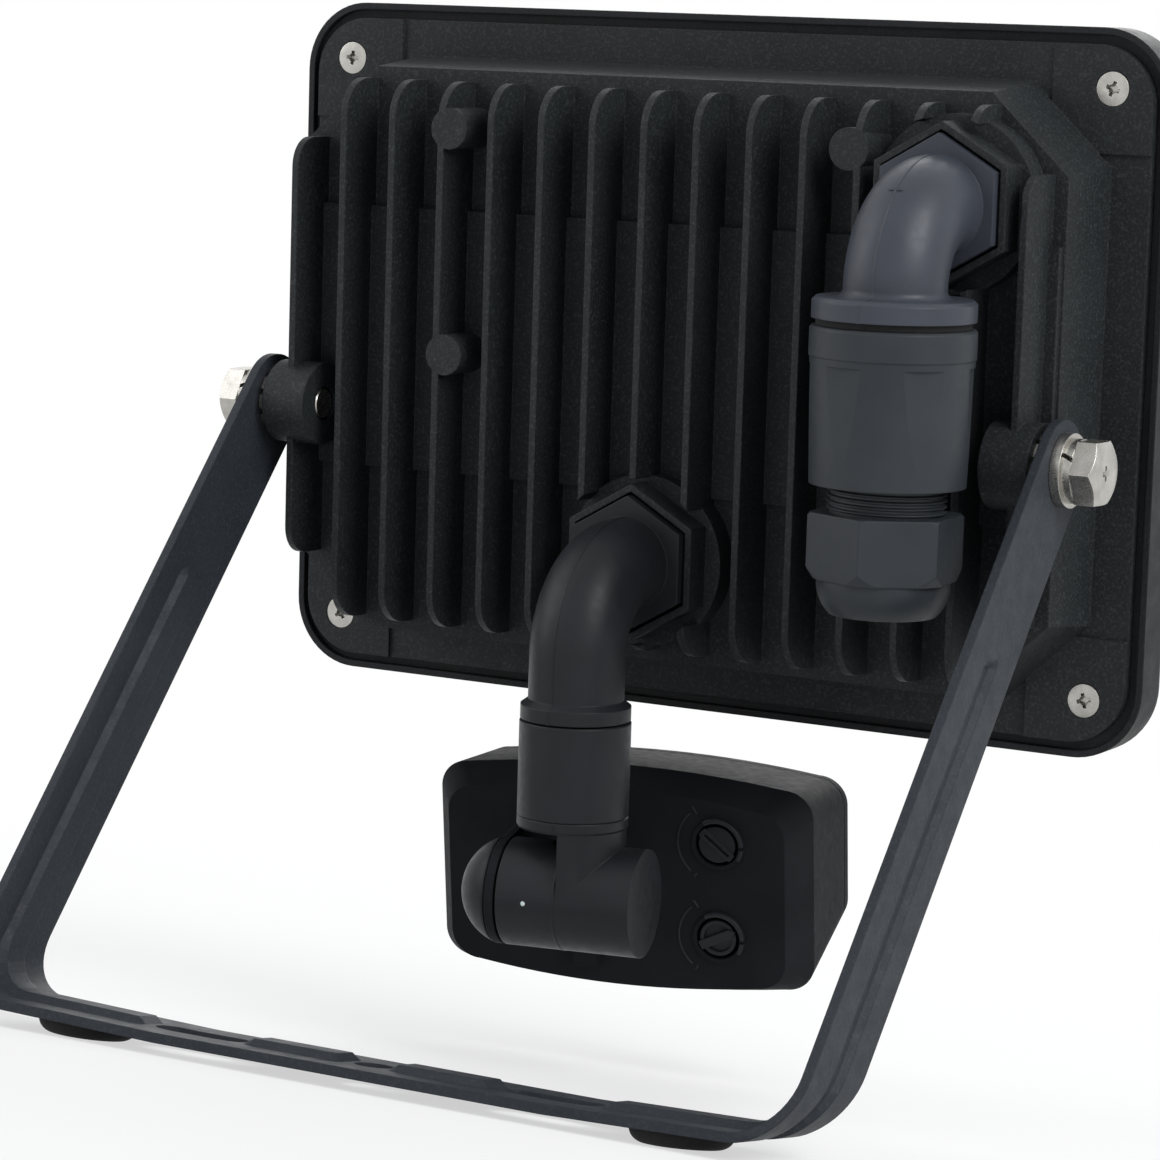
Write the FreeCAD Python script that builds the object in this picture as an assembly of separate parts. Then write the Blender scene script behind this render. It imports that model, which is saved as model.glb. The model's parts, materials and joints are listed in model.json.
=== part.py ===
import FreeCAD, Part
import math
import os

# LED floodlight on a U bracket with a motion sensor on an arm below it
# Millimetres, +Z up, the light shines towards -Y, the origin is the middle of the bracket's underside
# The lamp's pieces are made upright in the lamp's own axes and then tilted with the lamp:
# there X is across, Y runs to the rear from the frame's rear rim, and Z is up from the lamp's middle

# Bracket: a steel strip bent into a U with slanted arms
strip_thickness = 1.6
strip_width = 16.0
bend_radius = 9.0
base_rise = 0.8
base_level_half = 35.0
slot_spacing = 64.0
slot_length = 17.0
slot_width = 6.0
middle_hole_diameter = 6.3
bead_foot_width = 7.8
bead_top_width = 4.8
bead_height = 1.1
groove_mouth_width = 5.8
groove_floor_width = 2.8
groove_depth = 1.0
bead_start = 36.0
bead_run_out = 2.0
bead_slot_margin = 0.6
bend_steps = 6

# Rubber feet under the bracket
foot_diameter = 16.0
foot_height = 2.3
foot_place = 54.0
foot_slope = 1.6

# Tilt axis of the lamp
pivot_forward = 62.0
pivot_height = 106.4
lamp_tilt = 10.6
pivot_rear = 21.0
pivot_drop = 9.8
bolt_diameter = 6.0
bolt_clearance = 0.08
bolt_end_recess = 0.1
bolt_head_flats = 10.0
bolt_head_height = 4.0
flat_washer_diameter = 12.0
flat_washer_thickness = 1.6
spring_washer_diameter = 10.4
spring_washer_thickness = 1.6
toothed_washer_diameter = 11.4
toothed_washer_teeth = 10
face_stack = 1.7
face_gap = 0.06

# Front frame and glass
frame_width = 165.0
frame_height = 119.5
frame_corner = 12.0
frame_depth = 10.0
frame_front_round = 3.0
rim_wall = 1.15
rim_recess = 1.4
frame_side = 6.0
boss_cut = 13.0
lip_thickness = 1.8
lip_width = 4.0
glass_thickness = 3.0
glass_gasket_thickness = 0.8
housing_gasket_thickness = 1.0
gasket_width = 3.2
fit_gap = 0.4

# Rear housing: plate, box, fins, sockets and ears in one casting
plate_gap = 1.55
plate_corner = 10.0
plate_rear = 0.4
pad_rear = 1.0
pad_size = 17.6
box_margin_x = 6.8
box_margin_z = 6.2
box_draft_x = 1.0
box_draft_z = 1.8
box_cut_x = 13.9
box_cut_z = 13.0
box_rear = 15.5
housing_wall = 3.5
band_low = -20.5
band_high = 25.0
band_rise = 1.3
fin_pitch = 9.8
fin_ear_margin = 3.0
fin_rear = 24.9
fin_root_width = 1.9
fin_tip_width = 1.2
fin_inset = 2.0
fin_round = 6.5
ear_fin_inset = 12.6
ear_fin_round = 5.0
ear_diameter = 14.4
ear_length = 8.4
ear_proud = 0.4
screw_boss_diameter = 7.0
screw_boss_x = 37.6
screw_boss_inset = 9.85
screw_boss_lower = 0.8
socket_pad_radius = 14.5
socket_clear_radius = 14.2
socket_pad_rear = 20.0
socket_rim_rear = 25.3
socket_rim_flats = 23.2
socket_recess_flats = 21.0

# Corner screws that hold the housing to the frame
corner_screw_inset = 7.1
corner_screw_head = 5.8
corner_screw_shank = 3.0
corner_screw_cone = 1.3
corner_screw_length = 8.0
screw_clearance = 0.1

# Elbows, both screwed into the housing's sockets
hex_flats = 20.0
hex_rear = 26.5
elbow_seal_thickness = 0.6
stub_diameter = 12.0
stub_clearance = 0.2
elbow_bore = 8.0
lock_nut_flats = 16.0
lock_nut_height = 3.0
inlet_inset_x = 18.0
inlet_inset_z = 18.05
inlet_tube = 16.4
inlet_axis = 40.0
inlet_bend = 12.5
inlet_flange = 26.0
inlet_drop = 13.9
inlet_flange_height = 3.35
sensor_socket_inset = 17.55
sensor_tube = 15.9
sensor_axis = 41.7
sensor_bend = 13.7
sensor_collar = 18.3
sensor_drop = 20.7
sensor_collar_height = 3.2

# Cable connector and gland under the inlet elbow
seal_ring_diameter = 24.5
seal_ring_height = 1.15
connector_ring_diameter = 26.35
connector_ring_height = 4.75
connector_diameter = 26.0
connector_flats = 25.0
connector_turn = 11.5
connector_height = 20.1
connector_wall = 2.5
gland_thread = 17.9
gland_gap = 4.5
gland_hex_height = 10.45
gland_cap_height = 5.65
gland_flats = 21.7
gland_turn = 36.0
gland_cap = 21.2
gland_cap_flat = 17.0
cable_hole = 7.2
terminal_size = 11.0
terminal_height = 13.0

# Swivel sleeve and knuckle of the sensor arm
sleeve_diameter = 18.5
sleeve_gap = 0.3
sleeve_height = 15.7
knuckle_collar_height = 2.1
knuckle_drop = 11.9
knuckle_diameter = 18.0
knuckle_left = 10.0
knuckle_right = 13.0
knuckle_neck_cut = -0.5
spigot_diameter = 12.0
spigot_height = 10.6
running_clearance = 0.05
knuckle_pin_diameter = 5.0
ear_side_gap = 0.5
head_ear_width = 3.0
head_ear_chamfer = 1.7
knuckle_cap_length = 4.4
pin_end_wall = 3.0
pin_past_ear = 1.2

# Sensor head, in axes that turn and tilt with it, from the knuckle's axis
head_yaw = 10.5
head_tilt = 9.0
head_face = 22.85
head_edge = 28.8
head_seam = 47.6
head_front = 50.0
head_half_width = 33.6
head_mid_half = 20.1
head_side_half = 17.3
head_drop = 6.7
head_face_inset_x = 3.4
head_face_inset_z = 2.2
head_front_inset_z = 4.4
head_corner = 5.0
head_wall = 2.0
seam_gap = 0.3
lens_half_width = 28.0
lens_half_height = 9.5
lens_corner = 4.0
lens_bulge = 8.0
lens_wall = 1.0
tab_left = 7.3
tab_right = 3.0
tab_top = -18.3
tab_foot = -21.3
tab_proud = 2.0

# Dials in the sensor head's rear face
dial_x = -18.4
time_dial_z = 2.8
light_dial_z = -14.1
dial_diameter = 6.4
dial_gap = 0.6
dial_ring_wall = 0.7
dial_ring_proud = 0.4
dial_thickness = 1.8
dial_dip = 0.15
dial_bar_reach = 3.5
dial_bar_width = 1.6
dial_bar_proud = 0.3
dial_bar_sunk = 0.8
dial_trough_width = 0.6
dial_trough_depth = 0.6
dial_dish_rim = 0.7
dial_point_length = 1.0
time_dial_turn = 40.0
light_dial_turn = 26.0
dial_shaft = 2.4
trimmer_size = 7.0
trimmer_depth = 4.0
sensor_board_thickness = 1.6
sensor_board_place = 33.0
detector_diameter = 9.2
detector_height = 4.2

# Light source
board_thickness = 1.6
reflector_gap = 2.0
reflector_foot_cut = 2.0
reflector_half_x = 60.0
reflector_half_z = 17.0
reflector_wall = 0.8
chip_columns = 12
chip_pitch_x = 9.4
chip_rows = 4
chip_pitch_z = 9.0
chip_width = 3.5
chip_height = 2.8
chip_thickness = 0.7
board_screw_diameter = 2.6
board_screw_head = 5.0
board_screw_head_height = 1.6
board_screw_length = 7.0
board_gap_x = 2.5
board_gap_z = 2.0
driver_part_width = 6.0
driver_part_depth = 5.0
driver_part_height = 1.6
driver_part_pitch = 13.0
driver_part_z = 30.5
capacitor_diameter = 5.0
capacitor_height = 3.6
capacitor_pitch = 7.0
capacitor_x = 53.5
capacitor_z = -27.0

# Values that follow from the driving sizes
plate_half_x = frame_width / 2 - rim_wall - plate_gap
plate_half_z = frame_height / 2 - rim_wall - plate_gap
pad_from_x = plate_half_x - pad_size
pad_from_z = plate_half_z - pad_size
corner_screw_x = plate_half_x - corner_screw_inset
corner_screw_z = plate_half_z - corner_screw_inset
box_foot_half_x = plate_half_x - box_margin_x
box_foot_half_z = plate_half_z - box_margin_z
box_rear_half_x = box_foot_half_x - box_draft_x
box_rear_half_z = box_foot_half_z - box_draft_z
cavity_half_x = box_rear_half_x - housing_wall
cavity_half_z = box_rear_half_z - housing_wall + 0.5
fin_root_half = box_rear_half_z - fin_inset
ear_fin_root_half = box_rear_half_z - ear_fin_inset
ear_outer = box_rear_half_x + ear_proud
ear_inner = ear_outer - ear_length
fin_pairs = int((ear_outer - fin_ear_margin) / fin_pitch) - 1
ear_fin_place = (fin_pairs + 1) * fin_pitch
screw_boss_upper = box_rear_half_z - screw_boss_inset
inlet_x = inlet_inset_x - box_rear_half_x
inlet_z = box_rear_half_z - inlet_inset_z
sensor_socket_z = sensor_socket_inset - box_rear_half_z
inlet_flange_top = inlet_z - inlet_drop
inlet_flange_foot = inlet_flange_top - inlet_flange_height
seal_ring_foot = inlet_flange_foot - seal_ring_height
connector_ring_foot = seal_ring_foot - connector_ring_height
connector_foot = connector_ring_foot - connector_height
gland_nut_top = connector_foot - gland_gap
gland_hex_foot = gland_nut_top - gland_hex_height
gland_foot = gland_hex_foot - gland_cap_height
sensor_collar_top = sensor_socket_z - sensor_drop
sensor_collar_foot = sensor_collar_top - sensor_collar_height
spigot_foot = sensor_collar_foot - spigot_height
sleeve_foot = sensor_collar_foot - sleeve_gap - sleeve_height
knuckle_collar_foot = sleeve_foot - knuckle_collar_height
knuckle_z = knuckle_collar_foot - knuckle_drop
arm_gap = 2 * (ear_outer + face_stack)
arm_inner = arm_gap / 2
arm_outer = arm_inner + strip_thickness
outer_bend = bend_radius + strip_thickness
bend_x = arm_outer - outer_bend
bend_z = base_rise + outer_bend
slant_start = base_rise + strip_thickness
arm_angle = math.atan2(pivot_forward, pivot_height - slant_start)
base_half_depth = strip_width / 2 / math.cos(arm_angle)
frame_front = -frame_depth
lip_rear = frame_front + lip_thickness
glass_front = lip_rear + glass_gasket_thickness
glass_rear = glass_front + glass_thickness
skirt_front = glass_rear + housing_gasket_thickness
plate_front = -rim_recess
cavity_floor = box_rear - housing_wall
board_front = cavity_floor - board_thickness
socket_places = [(0.0, sensor_socket_z), (inlet_x, inlet_z)]
elbow_seat = socket_pad_rear + elbow_seal_thickness
stub_front = cavity_floor - lock_nut_height - 0.4
dial_rear = dial_ring_proud - dial_dip - head_face
head_ear_inner = knuckle_left + ear_side_gap
head_ear_outer = head_ear_inner + head_ear_width
pin_left = head_ear_outer + pin_past_ear
pin_right = pin_end_wall - knuckle_right

X_AXIS = FreeCAD.Vector(1, 0, 0)
Y_AXIS = FreeCAD.Vector(0, 1, 0)
Z_AXIS = FreeCAD.Vector(0, 0, 1)


# Placing

def lamp_placement():
    """Tilt the lamp about its pivot bolts and set the pivot over the bracket."""
    to_pivot = FreeCAD.Placement(FreeCAD.Vector(0, -pivot_rear, pivot_drop), FreeCAD.Rotation())
    tilt = FreeCAD.Rotation(X_AXIS, -lamp_tilt)
    place = FreeCAD.Placement(FreeCAD.Vector(0, -pivot_forward, pivot_height), tilt)
    return place.multiply(to_pivot)


def swivel_placement():
    """Turn about the arm's vertical axis, with the origin on the knuckle's axis."""
    turn = FreeCAD.Rotation(Z_AXIS, head_yaw)
    return lamp_placement().multiply(FreeCAD.Placement(FreeCAD.Vector(0, sensor_axis, knuckle_z), turn))


def head_placement():
    """Tilt about the knuckle's axis."""
    tilt = FreeCAD.Rotation(X_AXIS, -head_tilt)
    return swivel_placement().multiply(FreeCAD.Placement(FreeCAD.Vector(0, 0, 0), tilt))


def export(node, shape, placement=None):
    """Write one node's solids, moved to their place on the whole light."""
    solids = shape.Solids
    if placement is not None:
        matrix = placement.toMatrix()
        solids = [solid.transformed(matrix, True) for solid in solids]
    part = solids[0] if len(solids) == 1 else Part.makeCompound(solids)
    part.exportStep("parts/" + node + ".step")
    print(node, len(solids), part.isValid(), round(part.Volume, 1))


# Shapes used by several pieces

def polygon(points):
    """Closed wire through (x, y, z) points."""
    corners = [FreeCAD.Vector(*point) for point in points]
    return Part.makePolygon(corners + [corners[0]])


def slab(wire, depth):
    """Solid of a flat outline, thickened along +Y."""
    return Part.Face(wire).extrude(FreeCAD.Vector(0, depth, 0))


def rounded_outline(half_x, half_z, radius, y):
    """Rectangle with round corners, in the plane at y."""
    inner_x = half_x - radius
    inner_z = half_z - radius
    diagonal = radius * math.sqrt(0.5)
    edges = []
    for sx, sz in [(1, 1), (-1, 1), (-1, -1), (1, -1)]:
        along_side = FreeCAD.Vector(sx * half_x, y, sz * inner_z)
        along_end = FreeCAD.Vector(sx * inner_x, y, sz * half_z)
        middle = FreeCAD.Vector(sx * (inner_x + diagonal), y, sz * (inner_z + diagonal))
        first, last = (along_side, along_end) if sx * sz > 0 else (along_end, along_side)
        if edges:
            edges.append(Part.makeLine(edges[-1].lastVertex().Point, first))
        edges.append(Part.Arc(first, middle, last).toShape())
    edges.append(Part.makeLine(edges[-1].lastVertex().Point, edges[0].firstVertex().Point))
    return Part.Wire(edges)


def cut_corner_outline(half_x, half_z, cut_x, cut_z, y):
    """Rectangle with its corners cut off straight, in the plane at y."""
    points = []
    for sx, sz in [(1, 1), (-1, 1), (-1, -1), (1, -1)]:
        side = (sx * half_x, y, sz * (half_z - cut_z))
        end = (sx * (half_x - cut_x), y, sz * half_z)
        points += [side, end] if sx * sz > 0 else [end, side]
    return polygon(points)


def frame_opening(inset, y):
    """The frame's inner outline, drawn in by an even margin."""
    half_x = frame_width / 2 - frame_side - inset
    half_z = frame_height / 2 - frame_side - inset
    cut = boss_cut - inset * (2 - math.sqrt(2))
    return cut_corner_outline(half_x, half_z, cut, cut, y)


def flat_ring(outer_wire, inner_wire, depth):
    """Flat ring between two outlines, thickened along +Y."""
    return slab(outer_wire, depth).cut(slab(inner_wire, depth))


def rod(radius, start, end):
    """Cylinder from one point to another."""
    base = FreeCAD.Vector(*start)
    direction = FreeCAD.Vector(*end).sub(base)
    return Part.makeCylinder(radius, direction.Length, base, direction)


def cone(radius_a, radius_b, start, end):
    """Cone from one point to another."""
    base = FreeCAD.Vector(*start)
    direction = FreeCAD.Vector(*end).sub(base)
    return Part.makeCone(radius_a, radius_b, direction.Length, base, direction)


def box(x_range, y_range, z_range):
    """Box between two limits on each axis."""
    size = [limits[1] - limits[0] for limits in (x_range, y_range, z_range)]
    corner = FreeCAD.Vector(x_range[0], y_range[0], z_range[0])
    return Part.makeBox(size[0], size[1], size[2], corner)


def hex_prism(flats, start, end, first_corner):
    """Hexagonal prism on the line from start to end, with a corner towards first_corner."""
    base = FreeCAD.Vector(*start)
    along = FreeCAD.Vector(*end).sub(base)
    towards = FreeCAD.Vector(*first_corner)
    towards.multiply(flats / math.sqrt(3) / towards.Length)
    corners = []
    for step in range(6):
        turn = FreeCAD.Rotation(along, 60.0 * step)
        corners.append(base.add(turn.multVec(towards)))
    return Part.Face(Part.makePolygon(corners + [corners[0]])).extrude(along)


def turned(profile, center_x, center_y):
    """Solid turned about a vertical axis from (radius, z) points."""
    points = [(center_x + radius, center_y, z) for radius, z in profile]
    face = Part.Face(polygon(points))
    return face.revolve(FreeCAD.Vector(center_x, center_y, 0), Z_AXIS, 360)


def mirrored_x(shape):
    """The same solid on the other side of the light."""
    return shape.mirror(FreeCAD.Vector(0, 0, 0), X_AXIS)


def edges_on(shape, axis, value):
    """Edges that lie wholly in the plane where the axis has the value."""
    found = []
    for edge in shape.Edges:
        if all(abs(getattr(vertex.Point, axis) - value) < 1e-4 for vertex in edge.Vertexes):
            found.append(edge)
    return found


def group(solids):
    """Several separate solids as one node."""
    return Part.makeCompound(solids)


# Bracket

def strip_half_section():
    """Right half of the strip's U, cut across its width."""
    diagonal = math.sqrt(0.5)
    outer_mid = FreeCAD.Vector(bend_x + outer_bend * diagonal, 0, bend_z - outer_bend * diagonal)
    inner_mid = FreeCAD.Vector(bend_x + bend_radius * diagonal, 0, bend_z - bend_radius * diagonal)
    top = pivot_height + strip_width
    p = [FreeCAD.Vector(x, 0, z) for x, z in [
        (0, 0), (base_level_half, 0), (bend_x, base_rise), (arm_outer, bend_z), (arm_outer, top),
        (arm_inner, top), (arm_inner, bend_z), (bend_x, base_rise + strip_thickness),
        (base_level_half, strip_thickness), (0, strip_thickness)]]
    edges = [
        Part.makeLine(p[0], p[1]),
        Part.makeLine(p[1], p[2]),
        Part.Arc(p[2], outer_mid, p[3]).toShape(),
        Part.makeLine(p[3], p[4]),
        Part.makeLine(p[4], p[5]),
        Part.makeLine(p[5], p[6]),
        Part.Arc(p[6], inner_mid, p[7]).toShape(),
        Part.makeLine(p[7], p[8]),
        Part.makeLine(p[8], p[9]),
        Part.makeLine(p[9], p[0])]
    return Part.Face(Part.Wire(edges))


def strip_side_outline():
    """Side view of the strip: an upright foot and a slanted arm with a round end."""
    half = strip_width / 2
    across = FreeCAD.Vector(0, math.cos(arm_angle) * half, math.sin(arm_angle) * half)
    along = FreeCAD.Vector(0, -math.sin(arm_angle) * half, math.cos(arm_angle) * half)
    pivot = FreeCAD.Vector(0, -pivot_forward, pivot_height)
    rear_foot = FreeCAD.Vector(0, base_half_depth, -1)
    rear_bend = FreeCAD.Vector(0, base_half_depth, slant_start)
    front_foot = FreeCAD.Vector(0, -base_half_depth, -1)
    front_bend = FreeCAD.Vector(0, -base_half_depth, slant_start)
    edges = [
        Part.makeLine(front_foot, rear_foot),
        Part.makeLine(rear_foot, rear_bend),
        Part.makeLine(rear_bend, pivot.add(across)),
        Part.Arc(pivot.add(across), pivot.add(along), pivot.sub(across)).toShape(),
        Part.makeLine(pivot.sub(across), front_bend),
        Part.makeLine(front_bend, front_foot)]
    return Part.Face(Part.Wire(edges))


def strip_centre(z):
    """Where the middle of the strip's width lies at a height."""
    return -max(0.0, z - slant_start) * math.tan(arm_angle)


def strip_stations():
    """Places along the outer face of the right half: x, z and the inward normal."""
    bead_top = pivot_height - bead_start * math.cos(arm_angle)
    stations = [(arm_outer, bead_top, -1.0, 0.0), (arm_outer, bead_top - bead_run_out, -1.0, 0.0)]
    for step in range(bend_steps + 1):
        angle = math.pi / 2 * step / bend_steps
        x = bend_x + outer_bend * math.cos(angle)
        z = bend_z - outer_bend * math.sin(angle)
        stations.append((x, z, -math.cos(angle), math.sin(angle)))
    slot_end = (slot_spacing + slot_length) / 2 + bead_slot_margin
    slope = base_rise / (bend_x - base_level_half)
    for x in (slot_end + bead_run_out, slot_end):
        stations.append((x, slope * (x - base_level_half), 0.0, 1.0))
    return stations


def rib_section(station, low, high, half_low, half_high):
    """Four-cornered section standing on the strip at a station."""
    x, z, normal_x, normal_z = station
    points = []
    for offset, half in [(low, -half_low), (low, half_low), (high, half_high), (high, -half_high)]:
        height = z + normal_z * offset
        points.append((x + normal_x * offset, strip_centre(height) + half, height))
    return polygon(points)


def rib_solid(low, high, half_low, half_high, stations):
    """Long rib with a run-out at each end."""
    wires = []
    for index, station in enumerate(stations):
        ends = index in (0, len(stations) - 1)
        top = low + 0.1 * (high - low) if ends else high
        wires.append(rib_section(station, low, top, half_low, half_high))
    return Part.makeLoft(wires, True, True)


def middle_stations():
    """Short stretch of bead between the middle hole and a slot."""
    start = middle_hole_diameter / 2 + bead_slot_margin
    end = (slot_spacing - slot_length) / 2 - bead_slot_margin
    return [(x, 0.0, 0.0, 1.0) for x in (end, end - bead_run_out, start + bead_run_out, start)]


def slot_cutter(x):
    """Round-ended slot along X."""
    half = (slot_length - slot_width) / 2
    low = -1.0
    high = slant_start + bead_height + 1.0
    ends = [rod(slot_width / 2, (x + s * half, 0, low), (x + s * half, 0, high)) for s in (-1, 1)]
    middle = box((x - half, x + half), (-slot_width / 2, slot_width / 2), (low, high))
    return middle.fuse(ends)


def make_bracket():
    depth = pivot_forward + strip_width + base_half_depth
    section = strip_half_section()
    section.translate(FreeCAD.Vector(0, -depth, 0))
    half_strip = section.extrude(FreeCAD.Vector(0, depth + 2 * base_half_depth, 0))
    side = strip_side_outline()
    side.translate(FreeCAD.Vector(-1, 0, 0))
    outline = side.extrude(FreeCAD.Vector(arm_outer + 2, 0, 0))
    half = half_strip.common(outline)
    bead_low = strip_thickness - 0.3
    bead_high = strip_thickness + bead_height
    for stations in (strip_stations(), middle_stations()):
        half = half.fuse(rib_solid(bead_low, bead_high, bead_foot_width / 2, bead_top_width / 2, stations))
    for stations in (strip_stations(), middle_stations()):
        groove = rib_solid(-0.3, groove_depth, groove_mouth_width / 2, groove_floor_width / 2, stations)
        half = half.cut(groove)
    bolt_radius = bolt_diameter / 2 + bolt_clearance
    pivot = (-pivot_forward, pivot_height)
    half = half.cut(rod(bolt_radius, (arm_inner - 2, *pivot), (arm_outer + 2, *pivot)))
    half = half.cut(slot_cutter(slot_spacing / 2))
    bracket = half.fuse(mirrored_x(half))
    middle_hole = rod(middle_hole_diameter / 2, (0, 0, -1), (0, 0, strip_thickness + 1))
    return bracket.cut(middle_hole).removeSplitter()


def make_foot(side):
    radius = foot_diameter / 2
    low = -foot_height
    face = Part.Face(Part.Wire([
        Part.makeLine(FreeCAD.Vector(0, 0, 0), FreeCAD.Vector(radius, 0, 0)),
        Part.Arc(
            FreeCAD.Vector(radius, 0, 0),
            FreeCAD.Vector(radius - foot_slope * 0.25, 0, low * 0.6),
            FreeCAD.Vector(radius - foot_slope, 0, low)).toShape(),
        Part.makeLine(FreeCAD.Vector(radius - foot_slope, 0, low), FreeCAD.Vector(0, 0, low)),
        Part.makeLine(FreeCAD.Vector(0, 0, low), FreeCAD.Vector(0, 0, 0))]))
    foot = face.revolve(FreeCAD.Vector(0, 0, 0), Z_AXIS, 360)
    slope = base_rise / (bend_x - base_level_half)
    under = slope * (foot_place - base_level_half)
    foot.rotate(FreeCAD.Vector(0, 0, 0), Y_AXIS, -side * math.degrees(math.atan(slope)))
    foot.translate(FreeCAD.Vector(side * foot_place, 0, under))
    return foot


# Frame, glass and light source

def make_front_frame():
    outer = slab(rounded_outline(frame_width / 2, frame_height / 2, frame_corner, frame_front), frame_depth)
    outer = outer.makeFillet(frame_front_round, edges_on(outer, "y", frame_front))
    recess = rounded_outline(
        frame_width / 2 - rim_wall, frame_height / 2 - rim_wall, frame_corner - rim_wall, plate_front)
    frame = outer.cut(slab(recess, rim_recess + 1))
    frame = frame.cut(slab(frame_opening(0, lip_rear), plate_front - lip_rear + 0.1))
    frame = frame.cut(slab(frame_opening(lip_width, frame_front - 1), lip_thickness + 2))
    for sx in (-1, 1):
        for sz in (-1, 1):
            place = (sx * corner_screw_x, sz * corner_screw_z)
            front = (place[0], pad_rear - corner_screw_length - 0.5, place[1])
            frame = frame.cut(rod(corner_screw_shank / 2 + screw_clearance, front, (place[0], 1, place[1])))
    return frame


def make_glass():
    return slab(frame_opening(fit_gap, glass_front), glass_thickness)


def make_glass_gasket():
    outer = frame_opening(fit_gap, lip_rear)
    return flat_ring(outer, frame_opening(fit_gap + gasket_width, lip_rear), glass_gasket_thickness)


def make_housing_gasket():
    outer = frame_opening(fit_gap, glass_rear)
    return flat_ring(outer, frame_opening(fit_gap + gasket_width, glass_rear), housing_gasket_thickness)


def chip_places():
    """Middles of the LED chips."""
    places = []
    for column in range(chip_columns):
        for row in range(chip_rows):
            x = (column - (chip_columns - 1) / 2) * chip_pitch_x
            z = (row - (chip_rows - 1) / 2) * chip_pitch_z
            places.append((x, z))
    return places


def board_screw_places():
    return [(sx * screw_boss_x, z) for sx in (-1, 1) for z in (screw_boss_upper, screw_boss_lower)]


def make_led_board():
    half_x = box_rear_half_x - housing_wall - board_gap_x
    half_z = box_rear_half_z - housing_wall - board_gap_z
    board = slab(cut_corner_outline(half_x, half_z, box_cut_x, box_cut_z, board_front), board_thickness)
    around = lock_nut_flats / math.sqrt(3) + 1.5
    for x, z in socket_places:
        board = board.cut(rod(around, (x, board_front - 1, z), (x, cavity_floor + 1, z)))
    radius = board_screw_diameter / 2 + screw_clearance
    for x, z in board_screw_places():
        board = board.cut(rod(radius, (x, board_front - 1, z), (x, cavity_floor + 1, z)))
    return board


def make_led_chips():
    chips = []
    for x, z in chip_places():
        x_range = (x - chip_width / 2, x + chip_width / 2)
        z_range = (z - chip_height / 2, z + chip_height / 2)
        chips.append(box(x_range, (board_front - chip_thickness, board_front), z_range))
    return group(chips)


def make_driver_parts():
    """Flat chips and two small capacitors on the board, behind the reflector's sloping wall."""
    parts = []
    half_x = driver_part_width / 2
    half_z = driver_part_depth / 2
    for step in (-1.5, -0.5, 0.5, 1.5):
        x = step * driver_part_pitch
        parts.append(box(
            (x - half_x, x + half_x), (board_front - driver_part_height, board_front),
            (driver_part_z - half_z, driver_part_z + half_z)))
    for side in (-1, 1):
        x = capacitor_x + side * capacitor_pitch / 2
        top = (x, board_front - capacitor_height, capacitor_z)
        parts.append(rod(capacitor_diameter / 2, top, (x, board_front, capacitor_z)))
    return group(parts)


def make_reflector():
    """Folded sheet frame that slopes from the glass down to the board, even in thickness."""
    def funnel(inset, past):
        slope = inset * (2 - math.sqrt(2))
        shrink = reflector_gap + inset
        corner = shrink * (2 - math.sqrt(2))
        front = cut_corner_outline(
            cavity_half_x - shrink, cavity_half_z - shrink, box_cut_x - corner, box_cut_z - corner,
            skirt_front - past)
        foot_cut = reflector_foot_cut - slope
        foot = cut_corner_outline(
            reflector_half_x - inset, reflector_half_z - inset, foot_cut, foot_cut, board_front + past)
        return Part.makeLoft([front, foot], True, True)
    return funnel(0.0, 0.0).cut(funnel(reflector_wall, 0.01))


def make_board_screws():
    screws = []
    for x, z in board_screw_places():
        head = rod(board_screw_head / 2, (x, board_front - board_screw_head_height, z), (x, board_front, z))
        tip = board_front + board_screw_length
        shank = rod(board_screw_diameter / 2, (x, board_front - 0.1, z), (x, tip, z))
        screws.append(head.fuse(shank).removeSplitter())
    return group(screws)


# Rear housing

def make_fin(root_half, corner):
    """Tapered fin with rounded rear corners, standing in the middle plane."""
    start = box_rear - 0.5
    root = fin_root_width / 2
    tip = fin_tip_width / 2
    taper = Part.Face(polygon([
        (-root, start, -root_half), (root, start, -root_half),
        (tip, fin_rear, -root_half), (-tip, fin_rear, -root_half)]))
    blade = taper.extrude(FreeCAD.Vector(0, 0, 2 * root_half))
    diagonal = corner * math.sqrt(0.5)
    edges = []
    low = FreeCAD.Vector(-root, start, -root_half)
    high = FreeCAD.Vector(-root, start, root_half)
    arcs = []
    for s in (1, -1):
        root_end = FreeCAD.Vector(-root, fin_rear - corner, s * root_half)
        middle = FreeCAD.Vector(-root, fin_rear - corner + diagonal, s * (root_half - corner + diagonal))
        rear_end = FreeCAD.Vector(-root, fin_rear, s * (root_half - corner))
        arcs.append((root_end, middle, rear_end))
    edges.append(Part.makeLine(low, high))
    edges.append(Part.makeLine(high, arcs[0][0]))
    edges.append(Part.Arc(*arcs[0]).toShape())
    edges.append(Part.makeLine(arcs[0][2], arcs[1][2]))
    edges.append(Part.Arc(arcs[1][2], arcs[1][1], arcs[1][0]).toShape())
    edges.append(Part.makeLine(arcs[1][0], low))
    side = Part.Face(Part.Wire(edges)).extrude(FreeCAD.Vector(2 * root, 0, 0))
    return blade.common(side)


def make_fins():
    """All the fins, cleared round the two sockets."""
    fin = make_fin(fin_root_half, fin_round)
    fins = []
    for step in range(-fin_pairs, fin_pairs + 1):
        copy = fin.copy()
        copy.translate(FreeCAD.Vector(step * fin_pitch, 0, 0))
        fins.append(copy)
    ear_fin = make_fin(ear_fin_root_half, ear_fin_round)
    for side in (-1, 1):
        copy = ear_fin.copy()
        copy.translate(FreeCAD.Vector(side * ear_fin_place, 0, 0))
        fins.append(copy)
    cleared = []
    for item in fins:
        for x, z in socket_places:
            item = item.cut(rod(socket_clear_radius, (x, box_rear - 1, z), (x, fin_rear + 1, z)))
        cleared += item.Solids
    return cleared


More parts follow.
